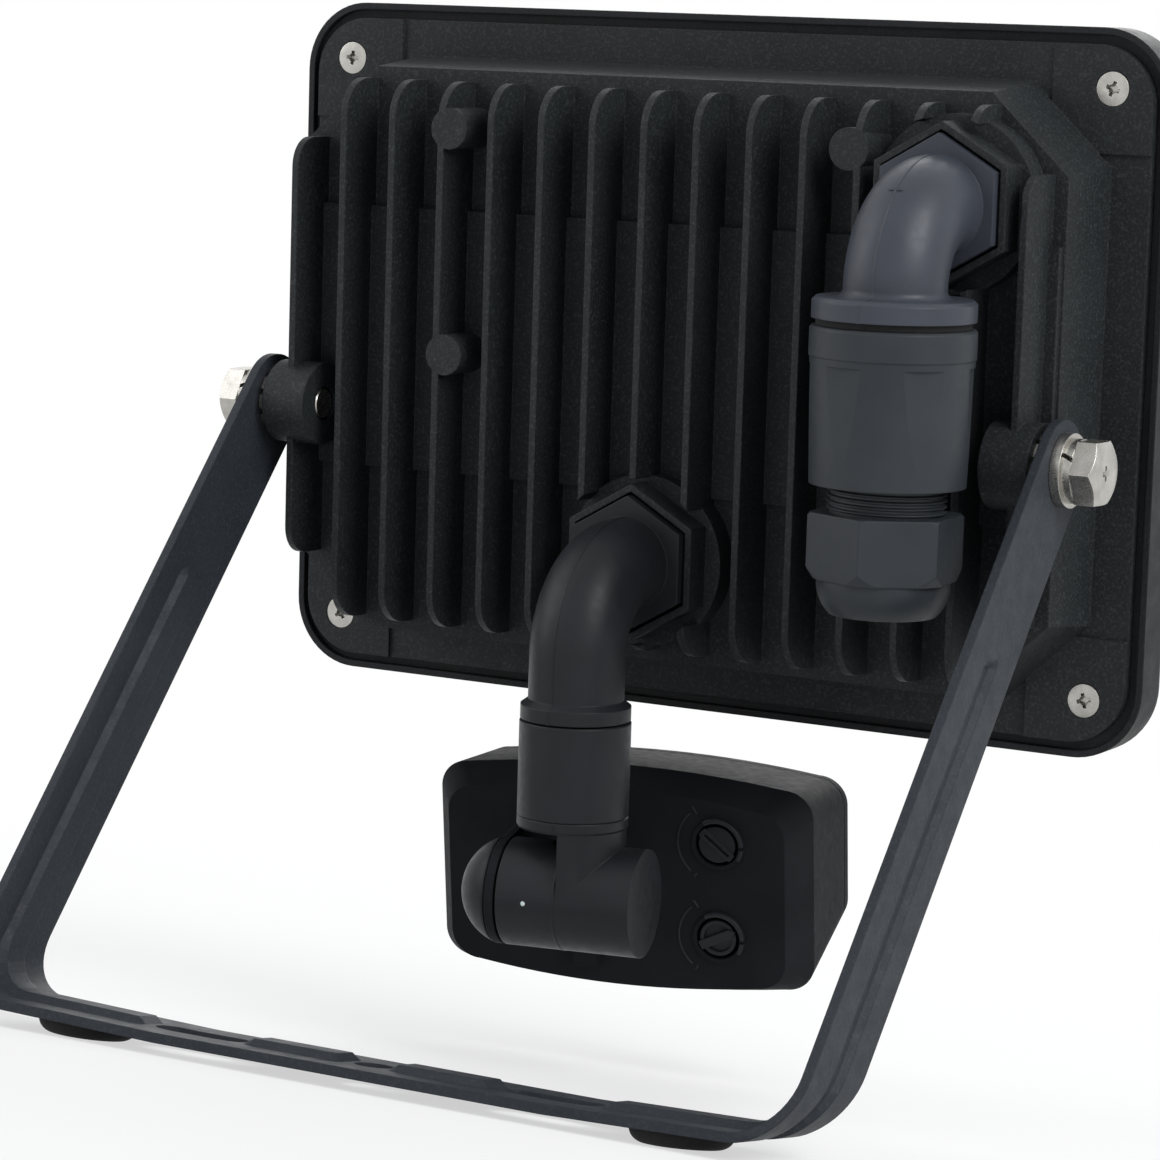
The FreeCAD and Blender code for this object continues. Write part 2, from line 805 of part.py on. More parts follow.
def make_housing_shell():
    """Plate with raised corners, skirt that presses the glass, and the drafted box."""
    half_x = plate_half_x
    half_z = plate_half_z
    plate = slab(rounded_outline(half_x, half_z, plate_corner, plate_front), plate_rear - plate_front)
    raised = slab(rounded_outline(half_x, half_z, plate_corner, plate_rear), pad_rear - plate_rear)
    middle_x = box((-pad_from_x, pad_from_x), (0, pad_rear + 1), (-half_z - 1, half_z + 1))
    middle_z = box((-half_x - 1, half_x + 1), (0, pad_rear + 1), (-pad_from_z, pad_from_z))
    pads = raised.cut(middle_x).cut(middle_z)
    skirt = slab(frame_opening(fit_gap + 0.2, skirt_front), plate_front - skirt_front + 0.1)
    shell = Part.makeLoft([
        cut_corner_outline(box_foot_half_x, box_foot_half_z, box_cut_x, box_cut_z, plate_front + 0.2),
        cut_corner_outline(box_rear_half_x, box_rear_half_z, box_cut_x, box_cut_z, box_rear)], True, True)
    band = box(
        (-box_rear_half_x + 0.5, box_rear_half_x - 0.5), (box_rear - 1, box_rear + band_rise),
        (band_low, band_high))
    cavity = slab(
        cut_corner_outline(cavity_half_x, cavity_half_z, box_cut_x, box_cut_z, skirt_front - 1),
        cavity_floor - skirt_front + 1)
    return plate.multiFuse([skirt, shell, band] + pads.Solids), cavity


def socket_rim(x, z):
    """Hexagonal rim that keeps an elbow from turning."""
    start = (x, socket_pad_rear, z)
    end = (x, socket_rim_rear, z)
    outer = hex_prism(socket_rim_flats, start, end, (0, 0, 1))
    return outer.cut(hex_prism(socket_recess_flats, start, end, (0, 0, 1)))


def make_rear_housing():
    shell, cavity = make_housing_shell()
    additions = []
    for x, z in socket_places:
        additions.append(rod(socket_pad_radius, (x, box_rear - 1, z), (x, socket_pad_rear, z)))
        additions.append(socket_rim(x, z))
    for x, z in board_screw_places():
        additions.append(rod(screw_boss_diameter / 2, (x, box_rear - 1, z), (x, fin_rear, z)))
    for side in (-1, 1):
        inner = (side * ear_inner, pivot_rear, -pivot_drop)
        outer = (side * ear_outer, pivot_rear, -pivot_drop)
        additions.append(rod(ear_diameter / 2, inner, outer))
    cutters = [cavity]
    for x, z in socket_places:
        cutters.append(rod(stub_diameter / 2 + stub_clearance, (x, cavity_floor - 1, z), (x, elbow_seat, z)))
    for sx in (-1, 1):
        for sz in (-1, 1):
            cutters.append(corner_screw(sx * corner_screw_x, sz * corner_screw_z, screw_clearance, 4.0))
    core = shell.multiFuse(additions).cut(cutters).removeSplitter()
    housing = core.multiFuse(make_fins())
    holes = []
    for x, z in board_screw_places():
        end = board_front + board_screw_length + 1.0
        holes.append(rod(board_screw_diameter / 2 + screw_clearance, (x, cavity_floor - 1, z), (x, end, z)))
    for side in (-1, 1):
        inner = (side * (ear_inner - 3), pivot_rear, -pivot_drop)
        outer = (side * (ear_outer + 1), pivot_rear, -pivot_drop)
        holes.append(rod(bolt_diameter / 2 + running_clearance, inner, outer))
    return housing.cut(holes)


def corner_screw(x, z, extra, length):
    """Countersunk screw, or the hole for it when extra is added."""
    head = corner_screw_head / 2 + extra
    shank = corner_screw_shank / 2 + extra
    seat = pad_rear - corner_screw_cone
    screw = cone(head, shank, (x, pad_rear, z), (x, seat, z))
    return screw.fuse(rod(shank, (x, seat + 0.01, z), (x, pad_rear - length, z))).removeSplitter()


def make_corner_screws():
    screws = []
    for sx in (-1, 1):
        for sz in (-1, 1):
            screws.append(corner_screw(sx * corner_screw_x, sz * corner_screw_z, 0.0, corner_screw_length))
    return group(screws)


# Pivot bolts and washers

def pivot_ring(radius, start, end):
    """Washer blank on the tilt axis, on the right-hand side of the lamp's axes."""
    place = (pivot_rear, -pivot_drop)
    ring = rod(radius, (start, *place), (end, *place))
    return ring.cut(rod(bolt_diameter / 2 + running_clearance, (start - 1, *place), (end + 1, *place)))


def both_sides(shape):
    return group([shape, mirrored_x(shape)])


def toothed_washer():
    start = ear_outer
    end = arm_inner - face_gap
    ring = pivot_ring(toothed_washer_diameter / 2, start, end)
    reach = (toothed_washer_diameter / 2 - 1.1, toothed_washer_diameter)
    notch = box((start - 1, end + 1), (-0.55, 0.55), reach)
    notches = []
    for step in range(toothed_washer_teeth):
        copy = notch.copy()
        copy.rotate(FreeCAD.Vector(0, 0, 0), X_AXIS, 360.0 * step / toothed_washer_teeth)
        copy.translate(FreeCAD.Vector(0, pivot_rear, -pivot_drop))
        notches.append(copy)
    return ring.cut(Part.makeCompound(notches))


def flat_washer():
    start = arm_outer + face_gap
    return pivot_ring(flat_washer_diameter / 2, start, start + flat_washer_thickness)


def spring_washer():
    start = arm_outer + face_gap + flat_washer_thickness
    ring = pivot_ring(spring_washer_diameter / 2, start, start + spring_washer_thickness)
    split = box((start - 1, start + spring_washer_thickness + 1), (-0.35, 0.35), (0, spring_washer_diameter))
    middle = FreeCAD.Vector(start + spring_washer_thickness / 2, 0, 0)
    split.rotate(middle, Z_AXIS, 25)
    split.rotate(FreeCAD.Vector(0, 0, 0), X_AXIS, -60)
    split.translate(FreeCAD.Vector(0, pivot_rear, -pivot_drop))
    return ring.cut(split)


def pivot_bolt():
    place = (pivot_rear, -pivot_drop)
    under_head = arm_outer + face_gap + flat_washer_thickness + spring_washer_thickness
    top = under_head + bolt_head_height
    head = hex_prism(bolt_head_flats, (under_head, *place), (top, *place), (0, 1, 0))
    corner = bolt_head_flats / math.sqrt(3)
    chamfer = cone(corner + bolt_head_height, bolt_head_flats / 2 - 0.3, (under_head, *place), (top, *place))
    tip = ear_inner + bolt_end_recess
    shank = rod(bolt_diameter / 2, (tip + 1.0, *place), (under_head + 0.5, *place))
    point = cone(bolt_diameter / 2 - 0.6, bolt_diameter / 2, (tip, *place), (tip + 1.0, *place))
    return head.common(chamfer).multiFuse([shank, point]).removeSplitter()


# Elbows

def elbow_path(x, z, radius, axis_y, bend, foot):
    """Round bar that leaves the housing, turns down and ends at foot."""
    turn_start = axis_y - bend
    level = rod(radius, (x, stub_front, z), (x, turn_start, z))
    circle = Part.Face(Part.Wire(Part.makeCircle(radius, FreeCAD.Vector(x, turn_start, z), Y_AXIS)))
    turn = circle.revolve(FreeCAD.Vector(x, turn_start, z - bend), X_AXIS, -90)
    drop = rod(radius, (x, axis_y, z - bend), (x, axis_y, foot))
    return level, turn, drop


def make_elbow(x, z, tube, axis_y, bend, foot, lower_part):
    """Hex shoulder, hollow stub through the housing, bend and lower end."""
    radius = tube / 2
    level, turn, drop = elbow_path(x, z, radius, axis_y, bend, foot)
    inside_housing = box((x - tube, x + tube), (stub_front - 1, hex_rear - 0.5), (z - tube, z + tube))
    shoulder = hex_prism(hex_flats, (x, elbow_seat, z), (x, hex_rear, z), (0, 0, 1))
    stub = rod(stub_diameter / 2, (x, stub_front, z), (x, elbow_seat + 1, z))
    body = level.cut(inside_housing).multiFuse([shoulder, stub, turn, drop, lower_part])
    low = lower_part.BoundBox.ZMin
    bore = elbow_path(x, z, elbow_bore / 2, axis_y, bend, low - 1)
    bore_start = rod(elbow_bore / 2, (x, stub_front - 1, z), (x, stub_front + 1, z))
    return body.cut(bore_start.multiFuse(list(bore))).removeSplitter()


def make_inlet_elbow():
    radius = inlet_flange / 2
    tube = inlet_tube / 2
    hollow = 1.3
    top = inlet_flange_top
    center = (inlet_x, inlet_axis)
    points = [FreeCAD.Vector(center[0] + r, center[1], z) for r, z in [
        (0, inlet_flange_foot), (radius, inlet_flange_foot), (radius, top - 0.6), (radius - 0.6, top),
        (tube + hollow, top), (tube, top + hollow), (0, top + hollow)]]
    bulge = hollow * (1 - math.sqrt(0.5))
    arc_middle = FreeCAD.Vector(center[0] + tube + bulge, center[1], top + bulge)
    edges = [Part.makeLine(points[i], points[i + 1]) for i in range(4)]
    edges.append(Part.Arc(points[4], arc_middle, points[5]).toShape())
    edges.append(Part.makeLine(points[5], points[6]))
    edges.append(Part.makeLine(points[6], points[0]))
    axis = FreeCAD.Vector(center[0], center[1], 0)
    flange = Part.Face(Part.Wire(edges)).revolve(axis, Z_AXIS, 360)
    return make_elbow(inlet_x, inlet_z, inlet_tube, inlet_axis, inlet_bend, inlet_flange_foot, flange)


def make_sensor_elbow():
    tube = sensor_tube / 2
    collar = sensor_collar / 2
    spigot = spigot_diameter / 2
    profile = [
        (0, spigot_foot), (spigot, spigot_foot), (spigot, sensor_collar_foot), (collar, sensor_collar_foot),
        (collar, sensor_collar_top - 0.9), (tube, sensor_collar_top), (0, sensor_collar_top)]
    lower = turned(profile, 0.0, sensor_axis)
    return make_elbow(0.0, sensor_socket_z, sensor_tube, sensor_axis, sensor_bend, sensor_collar_top, lower)


def make_elbow_seal(x, z):
    ring = rod(hex_flats / 2 - 0.3, (x, socket_pad_rear, z), (x, elbow_seat, z))
    return ring.cut(rod(stub_diameter / 2 + 0.1, (x, socket_pad_rear - 1, z), (x, elbow_seat + 1, z)))


def make_lock_nut(x, z):
    start = (x, cavity_floor - lock_nut_height, z)
    nut = hex_prism(lock_nut_flats, start, (x, cavity_floor, z), (0, 0, 1))
    bore = stub_diameter / 2 + running_clearance
    return nut.cut(rod(bore, (x, cavity_floor - 5, z), (x, cavity_floor + 1, z)))


# Connector and gland

def make_connector_seal():
    ring = seal_ring_diameter / 2
    hole = elbow_bore / 2 + 1.0
    return turned([(hole, seal_ring_foot), (ring, seal_ring_foot), (ring, inlet_flange_foot),
                   (hole, inlet_flange_foot)], inlet_x, inlet_axis)


def upright_hex(flats, low, high, turn):
    """Hexagon on the connector's axis, with one flat turned from the rear."""
    angle = math.radians(turn + 30.0)
    corner = (math.sin(angle), math.cos(angle), 0)
    return hex_prism(flats, (inlet_x, inlet_axis, low), (inlet_x, inlet_axis, high), corner)


def make_connector_body():
    ring = connector_ring_diameter / 2
    body = connector_diameter / 2
    inner = body - connector_wall
    thread = gland_thread / 2
    foot = gland_nut_top - 7.5
    center = (inlet_x, inlet_axis)
    head = turned([(0, connector_ring_foot), (ring, connector_ring_foot), (ring, seal_ring_foot - 0.4),
                   (ring - 0.4, seal_ring_foot), (0, seal_ring_foot)], *center)
    flats_top = connector_ring_foot - 1.2
    barrel = turned([(0, connector_foot), (body - 0.6, connector_foot), (body, connector_ring_foot),
                     (0, connector_ring_foot)], *center)
    faceted = barrel.common(upright_hex(connector_flats, connector_foot - 1, flats_top, connector_turn))
    neck = barrel.common(rod(body + 1, (*center, flats_top), (*center, connector_ring_foot)))
    stem = rod(thread, (*center, foot), (*center, connector_foot))
    hollow = rod(inner, (*center, connector_foot + connector_wall), (*center, seal_ring_foot + 1))
    passage = rod(terminal_size / 2, (*center, foot - 1), (*center, connector_foot + connector_wall + 1))
    solid = head.multiFuse([neck, faceted, stem])
    return solid.cut(hollow.fuse(passage)).removeSplitter()


def make_terminal_block():
    """Three-way terminal block that stands on the connector's floor."""
    low = connector_foot + connector_wall
    half_y = terminal_size / 2
    half_x = terminal_size * 0.8
    block = box((inlet_x - half_x, inlet_x + half_x), (inlet_axis - half_y, inlet_axis + half_y),
                (low, low + terminal_height))
    holes = []
    for step in (-1, 0, 1):
        x = inlet_x + step * terminal_size / 2
        holes.append(rod(1.6, (x, inlet_axis, low - 1), (x, inlet_axis, low + terminal_height + 1)))
    return block.cut(Part.makeCompound(holes))


def gland_cavity():
    """Inside of the gland nut: thread, seal seat and cable hole."""
    thread = gland_thread / 2 + running_clearance
    seat = gland_thread / 2 - 2.0
    stem_foot = gland_nut_top - 7.5
    return [(0, gland_nut_top + 1), (thread, gland_nut_top + 1), (thread, stem_foot - 0.4),
            (seat, stem_foot - 0.4), (seat, gland_foot + 1.6), (cable_hole / 2 + 0.4, gland_foot - 1),
            (0, gland_foot - 1)]


def make_gland_nut():
    center = (inlet_x, inlet_axis)
    hexagon = upright_hex(gland_flats, gland_hex_foot, gland_nut_top, -gland_turn)
    corner = gland_flats / math.sqrt(3)
    outline = [
        (0, gland_hex_foot), (corner - 1.2, gland_hex_foot), (corner + 0.1, gland_hex_foot + 2.0),
        (corner + 0.1, gland_nut_top - 0.5), (corner - 0.5, gland_nut_top), (0, gland_nut_top)]
    chamfer = turned(outline, *center)
    cap = gland_cap / 2
    cap_flat = gland_cap_flat / 2
    start = FreeCAD.Vector(center[0] + cap, center[1], gland_hex_foot)
    middle = FreeCAD.Vector(center[0] + cap - 0.55, center[1], (gland_hex_foot + gland_foot) / 2 - 0.6)
    end = FreeCAD.Vector(center[0] + cap_flat, center[1], gland_foot)
    face = Part.Face(Part.Wire([
        Part.Arc(start, middle, end).toShape(),
        Part.makeLine(end, FreeCAD.Vector(*center, gland_foot)),
        Part.makeLine(FreeCAD.Vector(*center, gland_foot), FreeCAD.Vector(*center, gland_hex_foot + 0.5)),
        Part.makeLine(FreeCAD.Vector(*center, gland_hex_foot + 0.5),
                      FreeCAD.Vector(center[0] + cap, center[1], gland_hex_foot + 0.5)),
        Part.makeLine(FreeCAD.Vector(center[0] + cap, center[1], gland_hex_foot + 0.5), start)]))
    dome = face.revolve(FreeCAD.Vector(*center, 0), Z_AXIS, 360)
    nut = hexagon.common(chamfer).fuse(dome)
    return nut.cut(turned(gland_cavity(), *center)).removeSplitter()


def make_gland_seal():
    seat = gland_thread / 2 - 2.0 - running_clearance
    top = gland_nut_top - 7.5 - 0.4
    low = gland_foot + 1.8
    hole = cable_hole / 2
    return turned([(hole, low), (seat, low), (seat, top), (hole, top)], inlet_x, inlet_axis)


# Swivel and knuckle, with the origin on the knuckle's axis

def make_swivel_sleeve():
    radius = sleeve_diameter / 2
    bore = spigot_diameter / 2 + running_clearance
    top = sensor_collar_foot - sleeve_gap - knuckle_z
    low = sleeve_foot - knuckle_z
    return turned([(bore, low), (radius, low), (radius, top - 0.2), (radius - 0.2, top), (bore, top)], 0, 0)


def make_knuckle_tee():
    radius = knuckle_diameter / 2
    collar = sleeve_diameter / 2
    collar_top = sleeve_foot - knuckle_z
    collar_foot = knuckle_collar_foot - knuckle_z
    plug_top = spigot_foot - 0.4 - knuckle_z
    head = turned([(0, collar_foot), (collar - 0.3, collar_foot), (collar, collar_foot + 0.4),
                   (collar, collar_top - 0.25), (collar - 0.25, collar_top), (0, collar_top)], 0, 0)
    plug = rod(spigot_diameter / 2, (0, 0, collar_top - 0.5), (0, 0, plug_top))
    neck = rod(radius, (0, 0, 0), (0, 0, collar_foot + 0.5))
    neck = neck.cut(box((knuckle_neck_cut, radius + 1), (-radius - 1, radius + 1), (0, collar_foot)))
    barrel = rod(radius, (-knuckle_right, 0, 0), (knuckle_left, 0, 0))
    tee = barrel.multiFuse([neck, head, plug])
    wire_way = rod(elbow_bore / 2 - 1, (0, 0, radius * 0.6), (0, 0, plug_top + 1))
    pin = knuckle_pin_diameter / 2 + running_clearance
    pin_hole = rod(pin, (pin_right - running_clearance, 0, 0), (knuckle_left + 1, 0, 0))
    return tee.cut([wire_way, pin_hole]).removeSplitter()


# Sensor head, with the origin on the knuckle's axis

def arched_outline(half_x, mid_half, side_half, y):
    """Wide outline with gently arched top and bottom and round corners."""
    r = head_corner
    arch = side_half + (mid_half - side_half) * (1 - ((half_x - r) / half_x) ** 2)
    diagonal = r * math.sqrt(0.5)
    edges = []
    corners = []
    for sx, sz in [(1, 1), (-1, 1), (-1, -1), (1, -1)]:
        side = FreeCAD.Vector(sx * half_x, y, sz * (arch - r) - head_drop)
        end = FreeCAD.Vector(sx * (half_x - r), y, sz * arch - head_drop)
        middle = FreeCAD.Vector(
            sx * (half_x - r + diagonal), y, sz * (arch - r + diagonal) - head_drop)
        corners.append((side, middle, end) if sx * sz > 0 else (end, middle, side))
    for index, corner in enumerate(corners):
        edges.append(Part.Arc(*corner).toShape())
        start = corner[2]
        finish = corners[(index + 1) % 4][0]
        if index in (0, 2):
            crest = FreeCAD.Vector(0, y, (1 if index == 0 else -1) * mid_half - head_drop)
            edges.append(Part.Arc(start, crest, finish).toShape())
        else:
            edges.append(Part.makeLine(start, finish))
    return Part.Wire(edges)


def head_section(y, inset):
    """Outline of the head at a depth, drawn in evenly for its hollow."""
    if y > -head_edge:
        share = (y + head_edge) / (head_edge - head_face)
        shrink_x = head_face_inset_x * share
        shrink_z = head_face_inset_z * share
    else:
        share = (-head_edge - y) / (head_front - head_edge)
        shrink_x = 0.0
        shrink_z = head_front_inset_z * share
    half_x = head_half_width - shrink_x - inset
    return arched_outline(half_x, head_mid_half - shrink_z - inset, head_side_half - shrink_z - inset, y)


def head_hull(depths, inset):
    return Part.makeLoft([head_section(y, inset) for y in depths], True, True)


def ear_blank(start, end):
    """Round-ended ear from the head's rear face to the knuckle's axis."""
    radius = knuckle_diameter / 2
    root = -head_face - 1.0
    face = Part.Face(Part.Wire([
        Part.makeLine(FreeCAD.Vector(start, root, radius), FreeCAD.Vector(start, 0, radius)),
        Part.Arc(FreeCAD.Vector(start, 0, radius), FreeCAD.Vector(start, radius, 0),
                 FreeCAD.Vector(start, 0, -radius)).toShape(),
        Part.makeLine(FreeCAD.Vector(start, 0, -radius), FreeCAD.Vector(start, root, -radius)),
        Part.makeLine(FreeCAD.Vector(start, root, -radius), FreeCAD.Vector(start, root, radius))]))
    return face.extrude(FreeCAD.Vector(end - start, 0, 0))


def make_head_ear():
    """The one ear that carries the head, chamfered round its outer face."""
    ear = ear_blank(head_ear_inner, head_ear_outer)
    root = -head_face - 1.0
    rim = []
    for edge in edges_on(ear, "x", head_ear_outer):
        if not all(abs(vertex.Point.y - root) < 1e-4 for vertex in edge.Vertexes):
            rim.append(edge)
    return ear.makeChamfer(head_ear_chamfer, rim)


def dial_places():
    return [(dial_x, time_dial_z), (dial_x, light_dial_z)]


def make_sensor_back():
    outer = head_hull([-head_face, -head_edge, -head_seam], 0.0)
    inner = head_hull([-head_face - head_wall, -head_edge - head_wall / 2, -head_seam - 0.01], head_wall)
    shell = outer.cut(inner)
    tab = box((tab_right, tab_left), (-head_face - 0.5, -head_face + tab_proud), (tab_foot, tab_top))
    bore = dial_diameter / 2 + dial_gap
    ring = bore + dial_ring_wall
    rings = [rod(ring, (x, -head_face - 0.5, z), (x, -head_face + dial_ring_proud, z))
             for x, z in dial_places()]
    shell = shell.multiFuse([make_head_ear(), tab] + rings)
    holes = [rod(bore, (x, -head_face - head_wall - 1, z), (x, -head_face + 1, z))
             for x, z in dial_places()]
    pin = knuckle_pin_diameter / 2 + running_clearance
    holes.append(rod(pin, (head_ear_inner - 1, 0, 0), (head_ear_outer + 1, 0, 0)))
    return shell.cut(Part.makeCompound(holes)).removeSplitter()


def lens_outline(half_x, half_z, y):
    outline = rounded_outline(half_x, half_z, lens_corner, y)
    outline.translate(FreeCAD.Vector(0, 0, -head_drop))
    return outline


def make_sensor_front():
    """Front strip of the housing, with a window for the lens."""
    seam = -head_seam - seam_gap
    ring = head_hull([seam, -head_front], 0.0)
    window = slab(lens_outline(lens_half_width, lens_half_height, -head_front - 1), 10)
    lip_depths = [seam + 2.0, seam - 0.2]
    lip = head_hull(lip_depths, head_wall + 0.1).cut(head_hull(lip_depths, head_wall + 1.6))
    return ring.fuse(lip).cut(window).removeSplitter()


def lens_dome(inset):
    """Pillow-shaped body of the lens, drawn in for its hollow."""
    chord = lens_half_width
    radius = (chord ** 2 + lens_bulge ** 2) / (2 * lens_bulge)
    center = FreeCAD.Vector(0, -head_front - lens_bulge + radius, -head_drop)
    ball = Part.makeSphere(radius - inset, center)
    half_x = lens_half_width - running_clearance - inset
    half_z = lens_half_height - running_clearance - inset
    bar = slab(lens_outline(half_x, half_z, -head_front - lens_bulge - 2), lens_bulge + 5)
    return ball.common(bar)


def make_lens():
    rear = -head_front + 3.0
    flange = slab(lens_outline(lens_half_width + 1.0, lens_half_height + 0.8, rear - 0.8), 0.8)
    solid = lens_dome(0.0).fuse(flange)
    reach = 2 * lens_half_width
    behind = box((-reach, reach), (rear, rear + reach), (-reach, reach))
    lens = solid.cut(behind).cut(lens_dome(lens_wall))
    return lens.removeSplitter()


def make_sensor_board():
    y = -sensor_board_place
    half_x = head_half_width - head_wall - 2.0
    half_z = head_side_half - head_wall - 3.0
    board = rounded_outline(half_x, half_z, 3.0, y - sensor_board_thickness)
    board.translate(FreeCAD.Vector(0, 0, -head_drop))
    return slab(board, sensor_board_thickness)


def make_board_posts():
    """Four posts of the rear shell that carry the sensor board."""
    posts = []
    start = -sensor_board_place
    end = -head_face - 0.5
    for sx in (-1, 1):
        for sz in (-1, 1):
            x = sx * (head_half_width - 8.5)
            z = sz * (head_side_half - 9.0) - head_drop
            if (sx, sz) != (-1, 1):
                posts.append(rod(2.2, (x, start, z), (x, end, z)))
    return posts


def make_detector():
    front = -sensor_board_place - sensor_board_thickness
    can = rod(detector_diameter / 2, (0, front, -head_drop), (0, front - detector_height, -head_drop))
    foot = rod(detector_diameter / 2 + 0.5, (0, front, -head_drop), (0, front - 0.5, -head_drop))
    return can.fuse(foot).removeSplitter()


def make_trimmers():
    rear = -sensor_board_place + trimmer_depth
    half = trimmer_size / 2
    bodies = []
    for x, z in dial_places():
        body = box((x - half, x + half), (-sensor_board_place, rear), (z - half, z + half))
        hole = rod(dial_shaft / 2 + running_clearance, (x, rear - 2.5, z), (x, rear + 1, z))
        bodies.append(body.cut(hole))
    return group(bodies)


def make_dial(z, bar, trough, turn):
    """Screwdriver dial with its shaft in the trimmer: a bar with a trough, or else a bar in a dish."""
    shaft_end = -sensor_board_place + trimmer_depth - 2.0
    disc = rod(dial_diameter / 2, (0, dial_rear - dial_thickness, 0), (0, dial_rear, 0))
    shaft = rod(dial_shaft / 2, (0, shaft_end, 0), (0, dial_rear - dial_thickness + 0.2, 0))
    reach = rod(dial_bar_reach, (0, dial_rear - dial_bar_sunk, 0), (0, dial_rear + dial_bar_proud, 0))
    dial = disc.fuse(shaft)
    if trough is None:
        rim = dial_diameter / 2 - dial_dish_rim
        dish = rod(rim, (0, dial_rear - dial_trough_depth, 0), (0, dial_rear + 1, 0))
        dial = dial.cut(dish).fuse(bar.common(reach)).removeSplitter()
    else:
        dial = dial.fuse(bar.common(reach)).cut(trough).removeSplitter()
    dial.rotate(FreeCAD.Vector(0, 0, 0), Y_AXIS, turn)
    dial.translate(FreeCAD.Vector(dial_x, 0, z))
    return dial


def make_time_dial():
    """Dial with a round-ended bar across it and a trough along the bar."""
    half = dial_bar_width / 2
    trough_half = dial_trough_width / 2
    low = dial_rear - dial_bar_sunk
    high = dial_rear + dial_bar_proud
    bar = box((-dial_bar_reach, dial_bar_reach), (low, high), (-half, half))
    end = dial_bar_reach - half
    trough = box((-end, end), (high - dial_trough_depth, high + 1), (-trough_half, trough_half))
    return make_dial(time_dial_z, bar, trough, -time_dial_turn)


def make_light_dial():
    """Dial with a pointed bar standing in a dished face."""
    half = dial_bar_width / 2
    low = dial_rear - dial_bar_sunk
    shoulder = dial_point_length - dial_bar_reach
    bar = Part.Face(polygon([
        (-dial_bar_reach, low, 0), (shoulder, low, -half), (dial_bar_reach, low, -half),
        (dial_bar_reach, low, half), (shoulder, low, half)]))
    bar = bar.extrude(FreeCAD.Vector(0, dial_bar_sunk + dial_bar_proud, 0))
    return make_dial(light_dial_z, bar, None, light_dial_turn)


def make_knuckle_pin():
    return rod(knuckle_pin_diameter / 2, (pin_right, 0, 0), (pin_left, 0, 0))


def make_knuckle_cap():
    """Shallow dome that closes the ear over the pin's end."""
    start = head_ear_outer + running_clearance / 2
    end = start + knuckle_cap_length
    rim = knuckle_diameter / 2 - head_ear_chamfer - running_clearance
    radius = (rim ** 2 + knuckle_cap_length ** 2) / (2 * knuckle_cap_length)
    dome = Part.makeSphere(radius, FreeCAD.Vector(end - radius, 0, 0))
    cap = dome.common(rod(rim + 1, (start, 0, 0), (end + 1, 0, 0)))
    pin = knuckle_pin_diameter / 2 + running_clearance
    return cap.cut(rod(pin, (start - 1, 0, 0), (pin_left + running_clearance, 0, 0)))


# All nodes

def build():
    os.makedirs("parts", exist_ok=True)
    lamp = lamp_placement()
    swivel = swivel_placement()
    head = head_placement()
    export("bracket", make_bracket())
    export("foot_left", make_foot(1))
    export("foot_right", make_foot(-1))
    export("front_frame", make_front_frame(), lamp)
    export("front_glass", make_glass(), lamp)
    export("glass_gasket", make_glass_gasket(), lamp)
    export("housing_gasket", make_housing_gasket(), lamp)
    export("rear_housing", make_rear_housing(), lamp)
    export("corner_screws", make_corner_screws(), lamp)
    export("led_board", make_led_board(), lamp)
    export("led_chips", make_led_chips(), lamp)
    export("driver_parts", make_driver_parts(), lamp)
    export("board_screws", make_board_screws(), lamp)
    export("reflector", make_reflector(), lamp)
    export("pivot_bolts", both_sides(pivot_bolt()), lamp)
    export("flat_washers", both_sides(flat_washer()), lamp)
    export("spring_washers", both_sides(spring_washer()), lamp)
    export("toothed_washers", both_sides(toothed_washer()), lamp)
    export("inlet_elbow", make_inlet_elbow(), lamp)
    export("inlet_seal", make_elbow_seal(inlet_x, inlet_z), lamp)
    export("inlet_lock_nut", make_lock_nut(inlet_x, inlet_z), lamp)
    export("connector_seal", make_connector_seal(), lamp)
    export("connector_body", make_connector_body(), lamp)
    export("terminal_block", make_terminal_block(), lamp)
    export("gland_nut", make_gland_nut(), lamp)
    export("gland_seal", make_gland_seal(), lamp)
    export("sensor_elbow", make_sensor_elbow(), lamp)
    export("sensor_elbow_seal", make_elbow_seal(0.0, sensor_socket_z), lamp)
    export("sensor_lock_nut", make_lock_nut(0.0, sensor_socket_z), lamp)
    export("swivel_sleeve", make_swivel_sleeve(), swivel)
    export("knuckle_tee", make_knuckle_tee(), swivel)
    export("sensor_back", make_sensor_back().multiFuse(make_board_posts()).removeSplitter(), head)
    export("sensor_front", make_sensor_front(), head)
    export("sensor_lens", make_lens(), head)
    export("sensor_board", make_sensor_board(), head)
    export("detector", make_detector(), head)
    export("trimmers", make_trimmers(), head)
    export("time_dial", make_time_dial(), head)
    export("light_dial", make_light_dial(), head)
    export("knuckle_pin", make_knuckle_pin(), head)
    export("knuckle_cap", make_knuckle_cap(), head)


build()
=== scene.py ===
# %% [markdown]
# A floodlight with a motion sensor
#
# The lamp stands on a bent steel strip, seen from behind, as it is before it goes on a wall.
# A model of its working parts comes ready made, at its real size, and never moves here.
# This file gives each part its finish, and adds the small forms that a maker's model leaves out:
# screw recesses, a gland thread, mould lines, light chips, the lens's grooves and the dials' scales.
# Every length is in metres, and every piece sits where the ready-made parts say.

# %% Load the parts that everything else is built around
import json
import math
import bmesh
import bpy
from mathutils import Euler, Matrix, Vector


